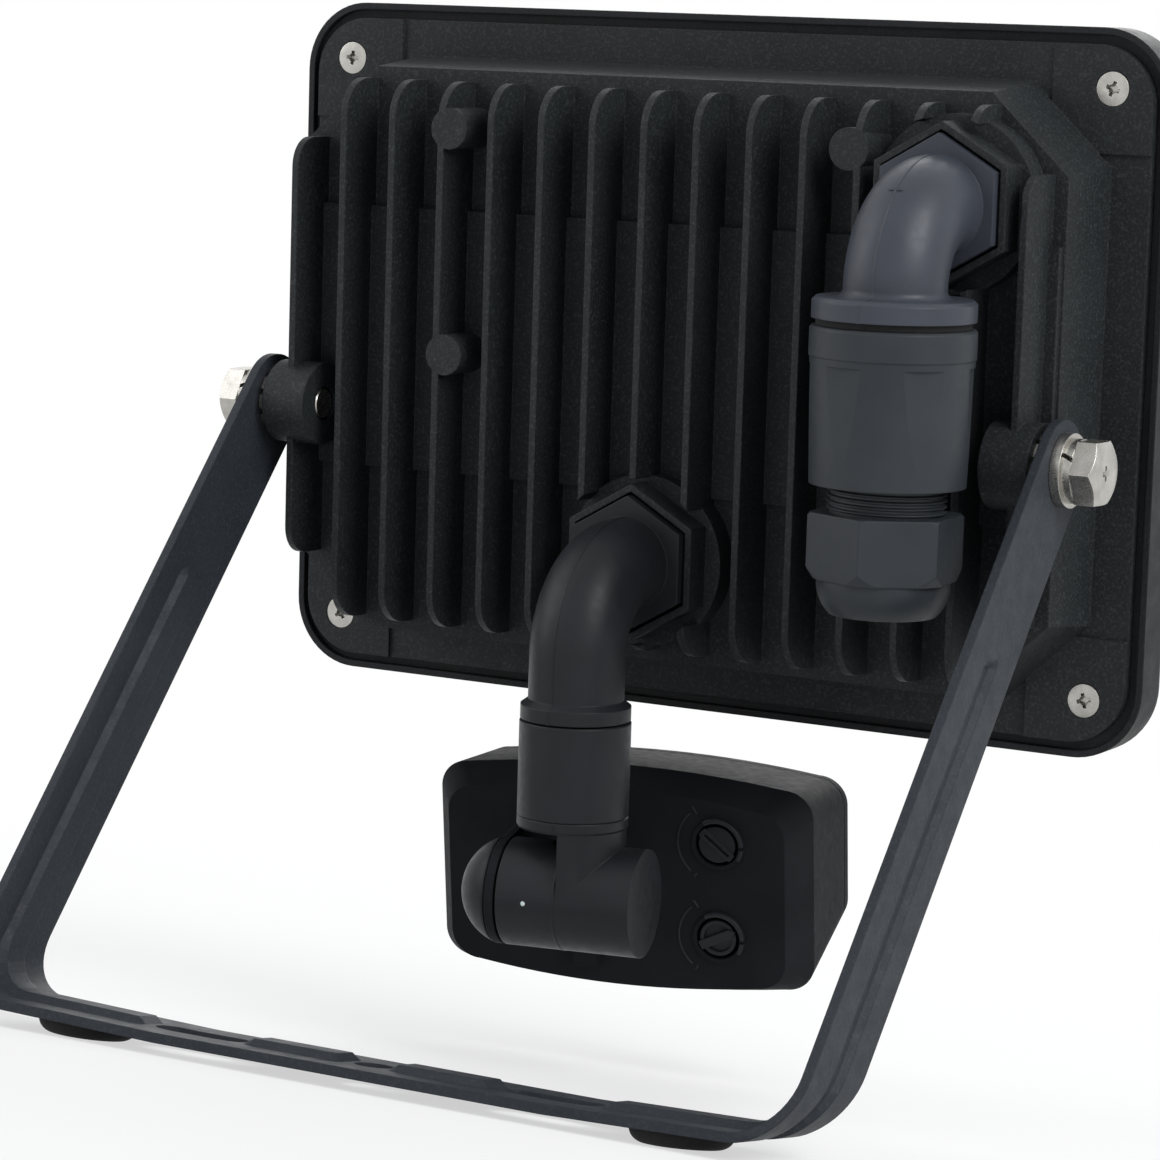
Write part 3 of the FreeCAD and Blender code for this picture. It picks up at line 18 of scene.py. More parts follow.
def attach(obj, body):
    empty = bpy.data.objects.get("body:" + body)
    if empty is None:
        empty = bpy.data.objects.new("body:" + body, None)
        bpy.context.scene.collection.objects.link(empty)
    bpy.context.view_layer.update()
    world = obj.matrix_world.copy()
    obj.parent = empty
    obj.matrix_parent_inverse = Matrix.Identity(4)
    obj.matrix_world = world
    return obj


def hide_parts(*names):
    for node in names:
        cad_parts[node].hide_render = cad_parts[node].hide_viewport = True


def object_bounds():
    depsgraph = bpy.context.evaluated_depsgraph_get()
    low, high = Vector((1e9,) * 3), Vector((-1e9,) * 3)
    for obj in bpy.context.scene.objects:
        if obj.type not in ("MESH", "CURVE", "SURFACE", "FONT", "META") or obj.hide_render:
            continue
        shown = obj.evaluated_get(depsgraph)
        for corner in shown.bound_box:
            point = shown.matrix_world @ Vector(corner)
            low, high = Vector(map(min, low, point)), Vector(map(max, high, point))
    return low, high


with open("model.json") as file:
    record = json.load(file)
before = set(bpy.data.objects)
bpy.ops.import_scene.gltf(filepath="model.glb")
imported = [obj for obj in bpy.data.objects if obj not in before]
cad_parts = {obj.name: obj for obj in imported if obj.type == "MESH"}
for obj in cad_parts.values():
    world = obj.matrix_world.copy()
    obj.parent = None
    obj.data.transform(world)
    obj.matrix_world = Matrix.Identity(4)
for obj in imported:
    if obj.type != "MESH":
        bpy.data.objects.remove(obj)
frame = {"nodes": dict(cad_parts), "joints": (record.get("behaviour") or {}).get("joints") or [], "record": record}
cad_low, cad_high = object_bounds()
parts = frame["nodes"]
print("parts", len(parts), "box", [round(v, 4) for v in cad_high - cad_low])

# %% [markdown]
# Where the lamp and the sensor head stand
#
# The lamp leans back on its pivot bolts, and the sensor head is turned and tilted on its knuckle.
# New pieces are easiest to model upright, so each one is made in its carrier's own axes and settled
# afterwards. Those axes could be typed in, but the joints of the ready-made model already hold them:
# the tilt bolts, the cable entry's direction, the knuckle's pin and the dials' shafts.

# %% Axes of the lamp and of the sensor head
MM = 0.001
PIVOT_REAR = 21.0 * MM
PIVOT_DROP = 9.8 * MM
joints = {joint["name"]: joint for joint in frame["joints"]}
mounts = {mount["name"]: mount for mount in frame["record"]["mounts"]}


def axes_at(origin, across, rear):
    """Matrix that carries a piece from its own axes to its place: X across, Y to the rear, Z up."""
    across = Vector(across).normalized()
    rear = Vector(rear).normalized()
    up = across.cross(rear)
    turn = Matrix((across, rear, up)).transposed().to_4x4()
    return Matrix.Translation(origin) @ turn


lamp_up = -Vector(mounts["cable_entry"]["axis"])
lamp_rear = lamp_up.cross(Vector((1, 0, 0)))
pivot = Vector(joints["lamp_tilt"]["pos_m"])
lamp_origin = pivot - lamp_rear * PIVOT_REAR + lamp_up * PIVOT_DROP
lamp_place = axes_at(lamp_origin, (1, 0, 0), lamp_rear)
knuckle = Vector(joints["sensor_tilt"]["pos_m"])
head_place = axes_at(knuckle, joints["sensor_tilt"]["axis"], joints["time_turn"]["axis"])
print("lamp leans back", round(math.degrees(math.asin(-lamp_rear.z)), 2), "degrees")

# %% [markdown]
# The camera
#
# The picture looks at the lamp from behind, a little from the right, from the height of the bracket's
# arms. A long lens keeps the lamp's edges nearly parallel. The camera could be made to track a point,
# but the picture leans a little, so it gets a pitch, a roll and a heading, which were fitted to it.

# %% Camera behind the lamp
CAMERA_PLACE = Vector((-0.3295, 0.5445, 0.0675))
CAMERA_PITCH = 91.092
CAMERA_ROLL = -6.937
CAMERA_HEADING = -150.967
LENS_MM = 128.1
FILM_MM = 36.0
camera_data = bpy.data.cameras.new("camera")
camera_data.lens = LENS_MM
camera_data.sensor_width = FILM_MM
camera = bpy.data.objects.new("camera", camera_data)
bpy.context.scene.collection.objects.link(camera)
turn = Euler([math.radians(angle) for angle in (CAMERA_PITCH, CAMERA_ROLL, CAMERA_HEADING)])
camera.matrix_world = Matrix.Translation(CAMERA_PLACE) @ turn.to_matrix().to_4x4()
bpy.context.scene.camera = camera
print("camera", [round(v, 3) for v in CAMERA_PLACE], "lens", LENS_MM)

# %% [markdown]
# A white background
#
# A studio shot of a dark object on white is lit by large soft lamps, so that its edges catch a broad
# pale gleam and its shadow stays faint. The background could be made white by more light, but that
# would bleach the object. Here the floor and the world show white only to the rays that look at them,
# from the camera, from a reflection or through glass.

# %% Rays that see white
WHITE_RAYS = ("Is Camera Ray", "Is Glossy Ray", "Is Transmission Ray")


def rays_that_see_white(tree):
    """One where the camera, a reflection or glass looks, and zero for the light on the object."""
    path = tree.nodes.new("ShaderNodeLightPath")
    total = path.outputs[WHITE_RAYS[0]]
    for name in WHITE_RAYS[1:]:
        add = tree.nodes.new("ShaderNodeMath")
        add.operation = "MAXIMUM"
        tree.links.new(total, add.inputs[0])
        tree.links.new(path.outputs[name], add.inputs[1])
        total = add.outputs[0]
    return total


print("kinds of ray that see white", len(WHITE_RAYS))

# %% [markdown]
# Light from all sides
#
# The object gets a weak, slightly blue light from everywhere, as in a white tent. A picture of a room
# could give it, but an even light is plain, and it is the same in every view.

# %% World
WORLD_TINT = (0.95, 0.97, 1.0, 1)
WORLD_LIGHT = 0.42
world = bpy.data.worlds.new("studio")
bpy.context.scene.world = world
world.use_nodes = True
sky = world.node_tree
sky.nodes.clear()
soft = sky.nodes.new("ShaderNodeBackground")
soft.inputs["Color"].default_value = WORLD_TINT
soft.inputs["Strength"].default_value = WORLD_LIGHT
white = sky.nodes.new("ShaderNodeBackground")
white.inputs["Color"].default_value = (1, 1, 1, 1)
white.inputs["Strength"].default_value = 1.0
choose = sky.nodes.new("ShaderNodeMixShader")
shown = sky.nodes.new("ShaderNodeOutputWorld")
sky.links.new(rays_that_see_white(sky), choose.inputs[0])
sky.links.new(soft.outputs[0], choose.inputs[1])
sky.links.new(white.outputs[0], choose.inputs[2])
sky.links.new(choose.outputs[0], shown.inputs[0])
print("world light", WORLD_LIGHT)

# %% [markdown]
# The floor
#
# The object needs something under it that takes its shadow. A studio has a sheet that curves up
# behind the object, but under a white world a large flat plane is enough.

# %% Floor
FLOOR_SIZE = 12.0


def clear_selection():
    """Leave edit mode and select nothing, because operators act on all that is selected."""
    if bpy.context.object and bpy.context.object.mode != "OBJECT":
        bpy.ops.object.mode_set(mode="OBJECT")
    bpy.ops.object.select_all(action="DESELECT")


clear_selection()
bpy.ops.mesh.primitive_plane_add(size=FLOOR_SIZE, location=(0, 0, cad_low.z))
floor = bpy.context.object
floor.name = "floor"
print("floor at", round(cad_low.z, 5))

# %% [markdown]
# The floor's paint
#
# The floor has to show the shadow near the object and plain white further off, where its edge would
# otherwise be a grey band. So its white glow gets stronger with the distance from the object.

# %% Floor paint
FLOOR_GREY = (0.9, 0.9, 0.9, 1)
SHADOW_REACH = 0.25
WHITE_FROM = 0.8
GLOW_NEAR = 0.6
floor_paint = bpy.data.materials.new("floor_paint")
floor_paint.use_nodes = True
tree = floor_paint.node_tree
tree.nodes.clear()
matt = tree.nodes.new("ShaderNodeBsdfDiffuse")
matt.inputs["Color"].default_value = FLOOR_GREY
glow = tree.nodes.new("ShaderNodeEmission")
glow.inputs["Strength"].default_value = 1.0
blend_in = tree.nodes.new("ShaderNodeMixShader")
floor_where = tree.nodes.new("ShaderNodeTexCoord")
distance = tree.nodes.new("ShaderNodeVectorMath")
distance.operation = "LENGTH"
fade = tree.nodes.new("ShaderNodeMapRange")
fade.inputs["From Min"].default_value = SHADOW_REACH
fade.inputs["From Max"].default_value = WHITE_FROM
fade.inputs["To Min"].default_value = GLOW_NEAR
fade.inputs["To Max"].default_value = 1.0
share = tree.nodes.new("ShaderNodeMath")
share.operation = "MULTIPLY"
out = tree.nodes.new("ShaderNodeOutputMaterial")
tree.links.new(floor_where.outputs["Object"], distance.inputs[0])
tree.links.new(distance.outputs["Value"], fade.inputs["Value"])
tree.links.new(fade.outputs["Result"], share.inputs[1])
tree.links.new(rays_that_see_white(tree), share.inputs[0])
tree.links.new(share.outputs[0], blend_in.inputs[0])
tree.links.new(matt.outputs[0], blend_in.inputs[1])
tree.links.new(glow.outputs[0], blend_in.inputs[2])
tree.links.new(blend_in.outputs[0], out.inputs[0])
floor.data.materials.append(floor_paint)
print("floor is plain white from", WHITE_FROM, "m")

# %% [markdown]
# The lamps
#
# The key lamp stands above the camera's right shoulder, a weaker one fills the other side, and a third
# lights the front, which this picture doesn't show but other views do. Large lamps give soft edges.

# %% Studio lamps
STUDIO_LAMPS = (
    ("key_lamp", (-1.1, 0.45, 0.9), (0.8, 0.8), 15),
    ("side_lamp", (1.1, 0.6, 0.6), (0.7, 1.0), 5),
    ("front_lamp", (0.3, -1.2, 0.9), (1.0, 1.0), 10),
)


def soft_box(name, place, aim, size, watts):
    """Rectangular lamp that faces a point."""
    data = bpy.data.lights.new(name, "AREA")
    data.shape = "RECTANGLE"
    data.size, data.size_y = size
    data.energy = watts
    lamp = bpy.data.objects.new(name, data)
    lamp.location = place
    lamp.rotation_euler = (Vector(aim) - Vector(place)).to_track_quat("-Z", "Y").to_euler()
    bpy.context.scene.collection.objects.link(lamp)


for name, place, size, watts in STUDIO_LAMPS:
    soft_box(name, place, (cad_low + cad_high) / 2, size, watts)
bpy.context.scene.view_settings.view_transform = "Standard"
print("lamps", len(STUDIO_LAMPS))

# %% [markdown]
# How a finish is made
#
# A finish is more than one colour. Powder coat has a fine skin like an orange's peel, castings are
# a little rough, moulded plastic has a soft gloss that varies, and rubber is dull with dust in its
# grain. Photographs could be wrapped on for this, but noise in the piece's own coordinates has no
# seams and holds up close to. Each finish starts from one shader, and small helpers add to it.

# %% Start a finish
finishes = {}


def tone(red, green, blue):
    """Colour as a painter reads it, 0 to 255, as the shader's linear values."""
    values = []
    for level in (red, green, blue):
        share = level / 255
        values.append(share / 12.92 if share <= 0.04045 else ((share + 0.055) / 1.055) ** 2.4)
    return (*values, 1.0)


def new_finish(name, roughness, metallic=0.0, gleam=0.5):
    """Material with a shader, and the coordinates that its patterns read."""
    material = bpy.data.materials.new(name)
    finishes[name] = material
    material.use_nodes = True
    shader = material.node_tree.nodes["Principled BSDF"]
    shader.inputs["Roughness"].default_value = roughness
    shader.inputs["Metallic"].default_value = metallic
    shader.inputs["Specular IOR Level"].default_value = gleam
    where = material.node_tree.nodes.new("ShaderNodeTexCoord")
    return material, shader, where.outputs["Object"]


def link(material, source, target):
    """Join one node's output to another node's input."""
    material.node_tree.links.new(source, target)


print("middle grey is", round(tone(128, 128, 128)[0], 3), "in linear light")

# %% [markdown]
# Patterns
#
# A colour or a gloss that varies needs a pattern and a range. The pattern is a noise whose blotches
# are as wide as the real ones. Most of its values lie near the middle, so they are spread out before
# they choose between two tones.

# %% Patterns for colour and gloss
NOISE_LOW = 0.3
NOISE_HIGH = 0.7


def noise(material, where, size, detail=3.0):
    """Cloudy pattern whose blotches are about this wide."""
    node = material.node_tree.nodes.new("ShaderNodeTexNoise")
    node.inputs["Scale"].default_value = 1.0 / size
    node.inputs["Detail"].default_value = detail
    link(material, where, node.inputs["Vector"])
    return node.outputs["Fac"]


def spread(material, value, low, high):
    """Widen the middle of a noise to the range from low to high."""
    node = material.node_tree.nodes.new("ShaderNodeMapRange")
    node.inputs["From Min"].default_value = NOISE_LOW
    node.inputs["From Max"].default_value = NOISE_HIGH
    node.inputs["To Min"].default_value = low
    node.inputs["To Max"].default_value = high
    link(material, value, node.inputs["Value"])
    return node.outputs["Result"]


def mixed(material, value, dark, light):
    """Colour between two tones, following a pattern."""
    node = material.node_tree.nodes.new("ShaderNodeMix")
    node.data_type = "RGBA"
    node.inputs["A"].default_value = dark
    node.inputs["B"].default_value = light
    link(material, value, node.inputs["Factor"])
    return node.outputs["Result"]


print("noise is read from", NOISE_LOW, "to", NOISE_HIGH)

# %% [markdown]
# Relief and soft edges
#
# Grain that is too fine to model is a bump with a real height. The ready-made parts have sharp edges,
# and painted or moulded ones never do. Their meshes stay as they are, so the shader rounds the edges.

# %% Relief and soft edges in the shader
EDGE_SAMPLES = 6


def raised(material, shader, value, height, under=None):
    """Bump of a real height, on top of the bump or rounded edge below it."""
    node = material.node_tree.nodes.new("ShaderNodeBump")
    node.inputs["Strength"].default_value = 1.0
    node.inputs["Distance"].default_value = height
    link(material, value, node.inputs["Height"])
    if under is not None:
        link(material, under, node.inputs["Normal"])
    link(material, node.outputs["Normal"], shader.inputs["Normal"])
    return node.outputs["Normal"]


def soft_edges(material, radius):
    """Normal that rounds the sharp edges of a ready-made part, as paint and moulding do."""
    node = material.node_tree.nodes.new("ShaderNodeBevel")
    node.samples = EDGE_SAMPLES
    node.inputs["Radius"].default_value = radius
    return node.outputs["Normal"]


print("rays for each soft edge", EDGE_SAMPLES)

# %% [markdown]
# Painted metal
#
# The bracket, the finned housing and the front frame are sprayed with powder and baked. The skin
# ripples finely on the flats, and the rough castings under it show as a sandy grain whose tips catch
# light. A bump alone would be too faint for that under soft lamps, so the glints are painted highlights:
# pale flecks in the colour.
# Three tones are needed: slate on the bracket, charcoal on the housing and near black on the frame.

# %% Powder coat
COAT_CLOUDS = 14 * MM
COAT_SHEEN = 3 * MM
SHEEN_SPREAD = 0.06
SKIN_RIPPLE = 0.9 * MM
SKIN_GRAIN = 0.32 * MM
# The grain's glints are painted highlights: pale flecks of this size mixed into the colour.
SKIN_GLINT = 0.5 * MM
GLINT_SHARE = 0.55


def powder_coat(name, dark, light, glint_tone, roughness, gleam, ripple, grain, edge):
    """Baked powder: cloudy tone, pale flecks as painted highlights of the grain, uneven gloss, a ripple and a fine
    grain.
    """
    material, shader, where = new_finish(name, roughness, gleam=gleam)
    clouds = spread(material, noise(material, where, COAT_CLOUDS), 0.0, 1.0)
    # Painted highlights: pale flecks where the grain would catch the light.
    grain_glints = spread(material, noise(material, where, SKIN_GLINT, 4.0), -GLINT_SHARE, GLINT_SHARE)
    glinted = mixed(material, grain_glints, dark, glint_tone)
    link(material, mixed(material, clouds, dark, light), glinted.node.inputs["A"])
    link(material, glinted, shader.inputs["Base Color"])
    sheen = noise(material, where, COAT_SHEEN)
    gloss = spread(material, sheen, roughness - SHEEN_SPREAD, roughness + SHEEN_SPREAD)
    link(material, gloss, shader.inputs["Roughness"])
    rounded = soft_edges(material, edge)
    rippled = raised(material, shader, noise(material, where, SKIN_RIPPLE, 1.0), ripple, rounded)
    raised(material, shader, noise(material, where, SKIN_GRAIN, 1.0), grain, rippled)


# The third tone of each paint is the colour of its painted glints.
powder_coat(
    "bracket_paint", dark=tone(38, 42, 47), light=tone(44, 48, 54), glint_tone=tone(60, 64, 70),
    roughness=0.54, gleam=0.18, ripple=0.02 * MM, grain=0.02 * MM, edge=0.35 * MM)
powder_coat(
    "housing_paint", dark=tone(27, 30, 32), light=tone(33, 36, 38), glint_tone=tone(62, 66, 68),
    roughness=0.56, gleam=0.2, ripple=0.02 * MM, grain=0.06 * MM, edge=0.3 * MM)
powder_coat(
    "frame_paint", dark=tone(26, 27, 29), light=tone(32, 33, 35), glint_tone=tone(46, 47, 50),
    roughness=0.52, gleam=0.16, ripple=0.012 * MM, grain=0.03 * MM, edge=0.4 * MM)
print("finishes", len(finishes))

# %% [markdown]
# Moulded plastic
#
# The elbows, the cable connector and the sensor are moulded. A mould's polished steel leaves a soft
# gloss, with a faint cloud where the plastic cooled unevenly. The tones differ from part to part,
# because they come from different makers' moulds: blue grey, slate and near black. The two shells of
# the head are the dullest, because their mould was etched.

# %% Plastic from a mould
MELT_CLOUDS = 9 * MM
MELT_SHEEN = 1.6 * MM
MELT_POLISH = 0.05
MELT_HAZE = 0.07
MOULD_GRAIN = 0.25 * MM
GRAIN_HEIGHT = 0.004 * MM


def moulded(name, dark, light, roughness, edge, gleam=0.4):
    """Moulded plastic: a slight cloud, a soft uneven gloss and a very fine grain."""
    material, shader, where = new_finish(name, roughness, gleam=gleam)
    clouds = spread(material, noise(material, where, MELT_CLOUDS, 2.0), 0.0, 1.0)
    link(material, mixed(material, clouds, dark, light), shader.inputs["Base Color"])
    sheen = noise(material, where, MELT_SHEEN)
    gloss = spread(material, sheen, roughness - MELT_POLISH, roughness + MELT_HAZE)
    link(material, gloss, shader.inputs["Roughness"])
    rounded = soft_edges(material, edge)
    raised(material, shader, noise(material, where, MOULD_GRAIN, 2.0), GRAIN_HEIGHT, rounded)


moulded("elbow_blue_grey", tone(52, 56, 64), tone(58, 62, 71), 0.4, 0.3 * MM, gleam=0.28)
moulded("connector_grey", tone(41, 45, 49), tone(47, 51, 55), 0.44, 0.3 * MM, gleam=0.25)
moulded("sensor_black", tone(29, 31, 34), tone(34, 36, 40), 0.42, 0.3 * MM, gleam=0.2)
moulded("head_black", tone(29, 30, 33), tone(34, 35, 38), 0.6, 0.3 * MM, gleam=0.04)
moulded("terminal_white", tone(205, 205, 200), tone(218, 218, 214), 0.4, 0.1 * MM)
moulded("trimmer_blue", tone(30, 58, 130), tone(36, 66, 142), 0.4, 0.1 * MM)
moulded("part_black", tone(24, 24, 26), tone(30, 30, 32), 0.5, 0.08 * MM)
print("finishes", len(finishes))

# %% [markdown]
# Rubber and silicone
#
# Rubber is dull, and its tone is blotchy with dust. It is the one finish with almost no gloss at its edges.
# Silicone is made the same way, but it is milky: some light gets in and spreads under its skin.

# %% Seals and feet
DUST = 0.7 * MM
PITS = 0.3 * MM
PIT_DEPTH = 0.012 * MM
RUBBER_EDGE = 0.3 * MM
RUBBER_GLEAM = 0.3


def rubber(name, dark, light, roughness):
    """Dull rubber with a dusty grain."""
    material, shader, where = new_finish(name, roughness, gleam=RUBBER_GLEAM)
    dust = spread(material, noise(material, where, DUST, 4.0), 0.0, 1.0)
    link(material, mixed(material, dust, dark, light), shader.inputs["Base Color"])
    pits = noise(material, where, PITS, 2.0)
    raised(material, shader, pits, PIT_DEPTH, soft_edges(material, RUBBER_EDGE))


def make_milky(name, weight, depth):
    """Let some light into a finish, to spread under its skin."""
    shader = finishes[name].node_tree.nodes["Principled BSDF"]
    shader.inputs["Subsurface Weight"].default_value = weight
    shader.inputs["Subsurface Scale"].default_value = depth


rubber("black_rubber", tone(17, 17, 18), tone(27, 27, 28), 0.82)
rubber("white_silicone", tone(214, 213, 208), tone(228, 227, 222), 0.55)
make_milky("white_silicone", 0.3, 1.5 * MM)
print("finishes", len(finishes))

# %% [markdown]
# Bare metal
#
# Bolts and washers are stainless, turned or stamped and lightly worn. The nut inside the housing is
# brass, the detector's can is nickel, and the reflector is bright rolled sheet, whose grain runs one
# way: a noise stretched along X does that.

# %% Metal with fine scratches
SCRATCH = 0.2 * MM
SCRATCH_DEPTH = 0.003 * MM
TARNISH = 2.5 * MM
WORN_BRIGHT = 0.08
WORN_DULL = 0.1


def bare_metal(name, dark, light, roughness, edge, stretch=(1, 1, 1)):
    """Metal whose scratches are longer along the axes that are stretched."""
    material, shader, where = new_finish(name, roughness, metallic=1.0)
    stretched = material.node_tree.nodes.new("ShaderNodeMapping")
    stretched.inputs["Scale"].default_value = stretch
    link(material, where, stretched.inputs["Vector"])
    scratches = noise(material, stretched.outputs["Vector"], SCRATCH, 2.0)
    clouds = spread(material, noise(material, where, TARNISH), 0.0, 1.0)
    link(material, mixed(material, clouds, dark, light), shader.inputs["Base Color"])
    gloss = spread(material, scratches, roughness - WORN_BRIGHT, roughness + WORN_DULL)
    link(material, gloss, shader.inputs["Roughness"])
    raised(material, shader, scratches, SCRATCH_DEPTH, soft_edges(material, edge))


bare_metal("stainless", tone(168, 166, 160), tone(190, 188, 183), 0.3, 0.15 * MM)
bare_metal("brass_nut", tone(205, 178, 110), tone(222, 196, 128), 0.32, 0.1 * MM)
bare_metal("detector_metal", tone(196, 196, 188), tone(210, 210, 203), 0.3, 0.1 * MM)
bare_metal(
    "reflector_silver", tone(222, 224, 227), tone(234, 235, 238), 0.24, 0.1 * MM,
    stretch=(0.05, 1, 1))
print("finishes", len(finishes))

# %% [markdown]
# Front glass
#
# The glass is clear, and it looks a little green through its edge, as float glass does. A clear
# shader could do by itself, but real glass is never wiped quite clean, so a noise smears its gloss.

# %% Glass
GLASS_BEND = 1.5
SMEARS = 20 * MM
GLASS_CLEAN = 0.01
GLASS_SMEARED = 0.04
GLASS_CLOUDS = 60 * MM
clear_glass, glass_shader, glass_where = new_finish("clear_glass", 0.02)
glass_shader.inputs["Transmission Weight"].default_value = 1.0
glass_shader.inputs["IOR"].default_value = GLASS_BEND
smears = spread(clear_glass, noise(clear_glass, glass_where, SMEARS), GLASS_CLEAN, GLASS_SMEARED)
link(clear_glass, smears, glass_shader.inputs["Roughness"])
glass_clouds = spread(clear_glass, noise(clear_glass, glass_where, GLASS_CLOUDS), 0.0, 1.0)
glass_tint = mixed(clear_glass, glass_clouds, tone(238, 247, 243), tone(244, 250, 247))
link(clear_glass, glass_tint, glass_shader.inputs["Base Color"])
print("finishes", len(finishes))

# %% [markdown]
# Lens, boards and chips
#
# The sensor's lens is milky polythene: light gets in and spreads, so it is moulded plastic with some
# subsurface scattering. The lamp's board is aluminium under white mask, and the sensor's is green with
# a woven core. The weave could be modelled, but it is far finer than the light shows, so it is a bump.

# %% Lens and boards
BOARD_GLOSS = 0.4
MASK_FLECK = 4 * MM
THREAD_RELIEF = 0.006 * MM
WEAVE_WANDER = 1.5


def board_mask(name, dark, light, weave):
    """Solder mask over a board, with the weave of its core faintly showing."""
    material, shader, where = new_finish(name, BOARD_GLOSS)
    fleck = spread(material, noise(material, where, MASK_FLECK), 0.0, 1.0)
    link(material, mixed(material, fleck, dark, light), shader.inputs["Base Color"])
    threads = material.node_tree.nodes.new("ShaderNodeTexWave")
    threads.inputs["Scale"].default_value = 1.0 / weave
    threads.inputs["Distortion"].default_value = WEAVE_WANDER
    link(material, where, threads.inputs["Vector"])
    raised(material, shader, threads.outputs["Fac"], THREAD_RELIEF)


moulded("lens_white", tone(226, 227, 224), tone(236, 237, 234), 0.42, 0.15 * MM)
make_milky("lens_white", 0.4, 2.0 * MM)
board_mask("board_white", tone(222, 222, 218), tone(232, 232, 229), 6 * MM)
board_mask("board_green", tone(22, 84, 46), tone(28, 96, 54), 3 * MM)
moulded("chip_yellow", tone(226, 190, 62), tone(236, 204, 84), 0.35, 0.05 * MM)
moulded("chip_case_white", tone(228, 228, 224), tone(238, 238, 235), 0.4, 0.05 * MM)
print("finishes", len(finishes))

# %% [markdown]
# Which part has which finish
#
# A ready-made part keeps its mesh and only gets a material, through its material slots. The packed
# record names a finish for each part, so the finishes go by the record and no part is forgotten.
# Only the head's two shells differ from it: they are duller than the rest of the black plastic.

# %% Put the finishes on the parts
HEAD_SHELLS = ("sensor_back", "sensor_front")
slot_of = {row["node"]: row["material_slot"] for row in frame["record"]["subparts"]}
for name, part in parts.items():
    part.data.materials.clear()
    part.data.materials.append(finishes["head_black" if name in HEAD_SHELLS else slot_of[name]])
print("parts finished", len(slot_of))

# %% [markdown]
# Picking faces
#
# The pieces below are built as by hand: a simple form is added, its faces are picked and then pulled,
# sunk, turned or cut. Faces can be picked with the mouse, or by their place and direction, which gives
# the same result each time.

# %% Opening a piece and picking its faces
LEVEL = 0.9


def edit(piece):
    """Open one piece for editing, with nothing else selected."""
    clear_selection()
    piece.select_set(True)
    bpy.context.view_layer.objects.active = piece
    bpy.ops.object.mode_set(mode="EDIT")


def pick(test, kind="FACE"):
    """Select what passes a test, of the piece that is being edited: its faces or its edges."""
    bpy.ops.mesh.select_mode(type=kind)
    bpy.ops.mesh.select_all(action="DESELECT")
    mesh = bmesh.from_edit_mesh(bpy.context.object.data)
    found = 0
    for item in (mesh.faces if kind == "FACE" else mesh.edges):
        if test(item):
            item.select_set(True)
            found += 1
    bmesh.update_edit_mesh(bpy.context.object.data)
    return found


def looks_up(face):
    """Whether a face is level and looks up."""
    return face.normal.z > LEVEL


def looks_down(face):
    """Whether a face is level and looks down."""
    return face.normal.z < -LEVEL


print("a face is level within", round(math.degrees(math.acos(LEVEL))), "degrees")

# %% [markdown]
# Corner screws
#
# Four countersunk screws hold the housing to the frame. Each has a cross recess that narrows as it
# goes down, and each stopped at its own turn. The cross could be one many-sided tool, but two tapered
# bars cut out one after the other are simpler, and they serve for the bolts too.

# %% Cutting a cross recess
RECESS_TAPER = 0.45
BAR_TURNS = (0.0, 90.0)


def carve(piece, tool, operation="DIFFERENCE"):
    """Cut a tool out of a piece, or join it on or keep what both share, and drop the tool."""
    clear_selection()
    piece.select_set(True)
    bpy.context.view_layer.objects.active = piece
    change = piece.modifiers.new("carve", "BOOLEAN")
    change.operation = operation
    change.solver = "EXACT"
    change.object = tool
    bpy.ops.object.modifier_apply(modifier=change.name)
    bpy.data.objects.remove(tool, do_unlink=True)


def cross_recess(piece, span, arm, depth, height):
    """Cut a cross into the top of a piece: two bars that narrow towards the bottom."""
    narrow = (RECESS_TAPER, RECESS_TAPER, 1.0)
    for turn in BAR_TURNS:
        clear_selection()
        bpy.ops.mesh.primitive_cube_add(size=1.0, location=(0, 0, height))
        bar = bpy.context.object
        bar.scale = (span, arm, 2 * depth)
        bar.rotation_euler.z = math.radians(turn)
        bpy.ops.object.transform_apply(location=False, rotation=True, scale=True)
        edit(bar)
        pick(looks_down)
        bpy.ops.transform.resize(value=narrow, center_override=(0, 0, height))
        bpy.ops.object.mode_set(mode="OBJECT")
        carve(piece, bar)


print("a recess narrows to", RECESS_TAPER, "of its width")

# %% [markdown]
# One screw
#
# A screw could be turned from a curve, but a disc gives it in three moves: its lower face is drawn in
# to a cone and then pulled down to a shank, and the rim of its upper face is rounded. A short wide
# cross over the long narrow one opens the middle of the recess.

# %% One corner screw
ROUND_SIDES = 48
SCREW_HEAD = 2.9 * MM
SCREW_CONE = 1.3 * MM
SCREW_SHANK = 1.5 * MM
SCREW_LENGTH = 8.0 * MM
SCREW_RIM = 0.18 * MM
CROSS_SPAN = 3.45 * MM
CROSS_ARM = 0.87 * MM
CROSS_DEPTH = 1.1 * MM
MIDDLE_SPAN = 1.9 * MM
MIDDLE_ARM = 1.35 * MM


def put(piece, place):
    """Move a piece by a matrix, and write the move into its mesh."""
    clear_selection()
    piece.select_set(True)
    bpy.context.view_layer.objects.active = piece
    bpy.ops.object.transform_apply(location=True, rotation=True, scale=True)
    piece.matrix_world = place
    bpy.ops.object.transform_apply(location=True, rotation=True, scale=True)


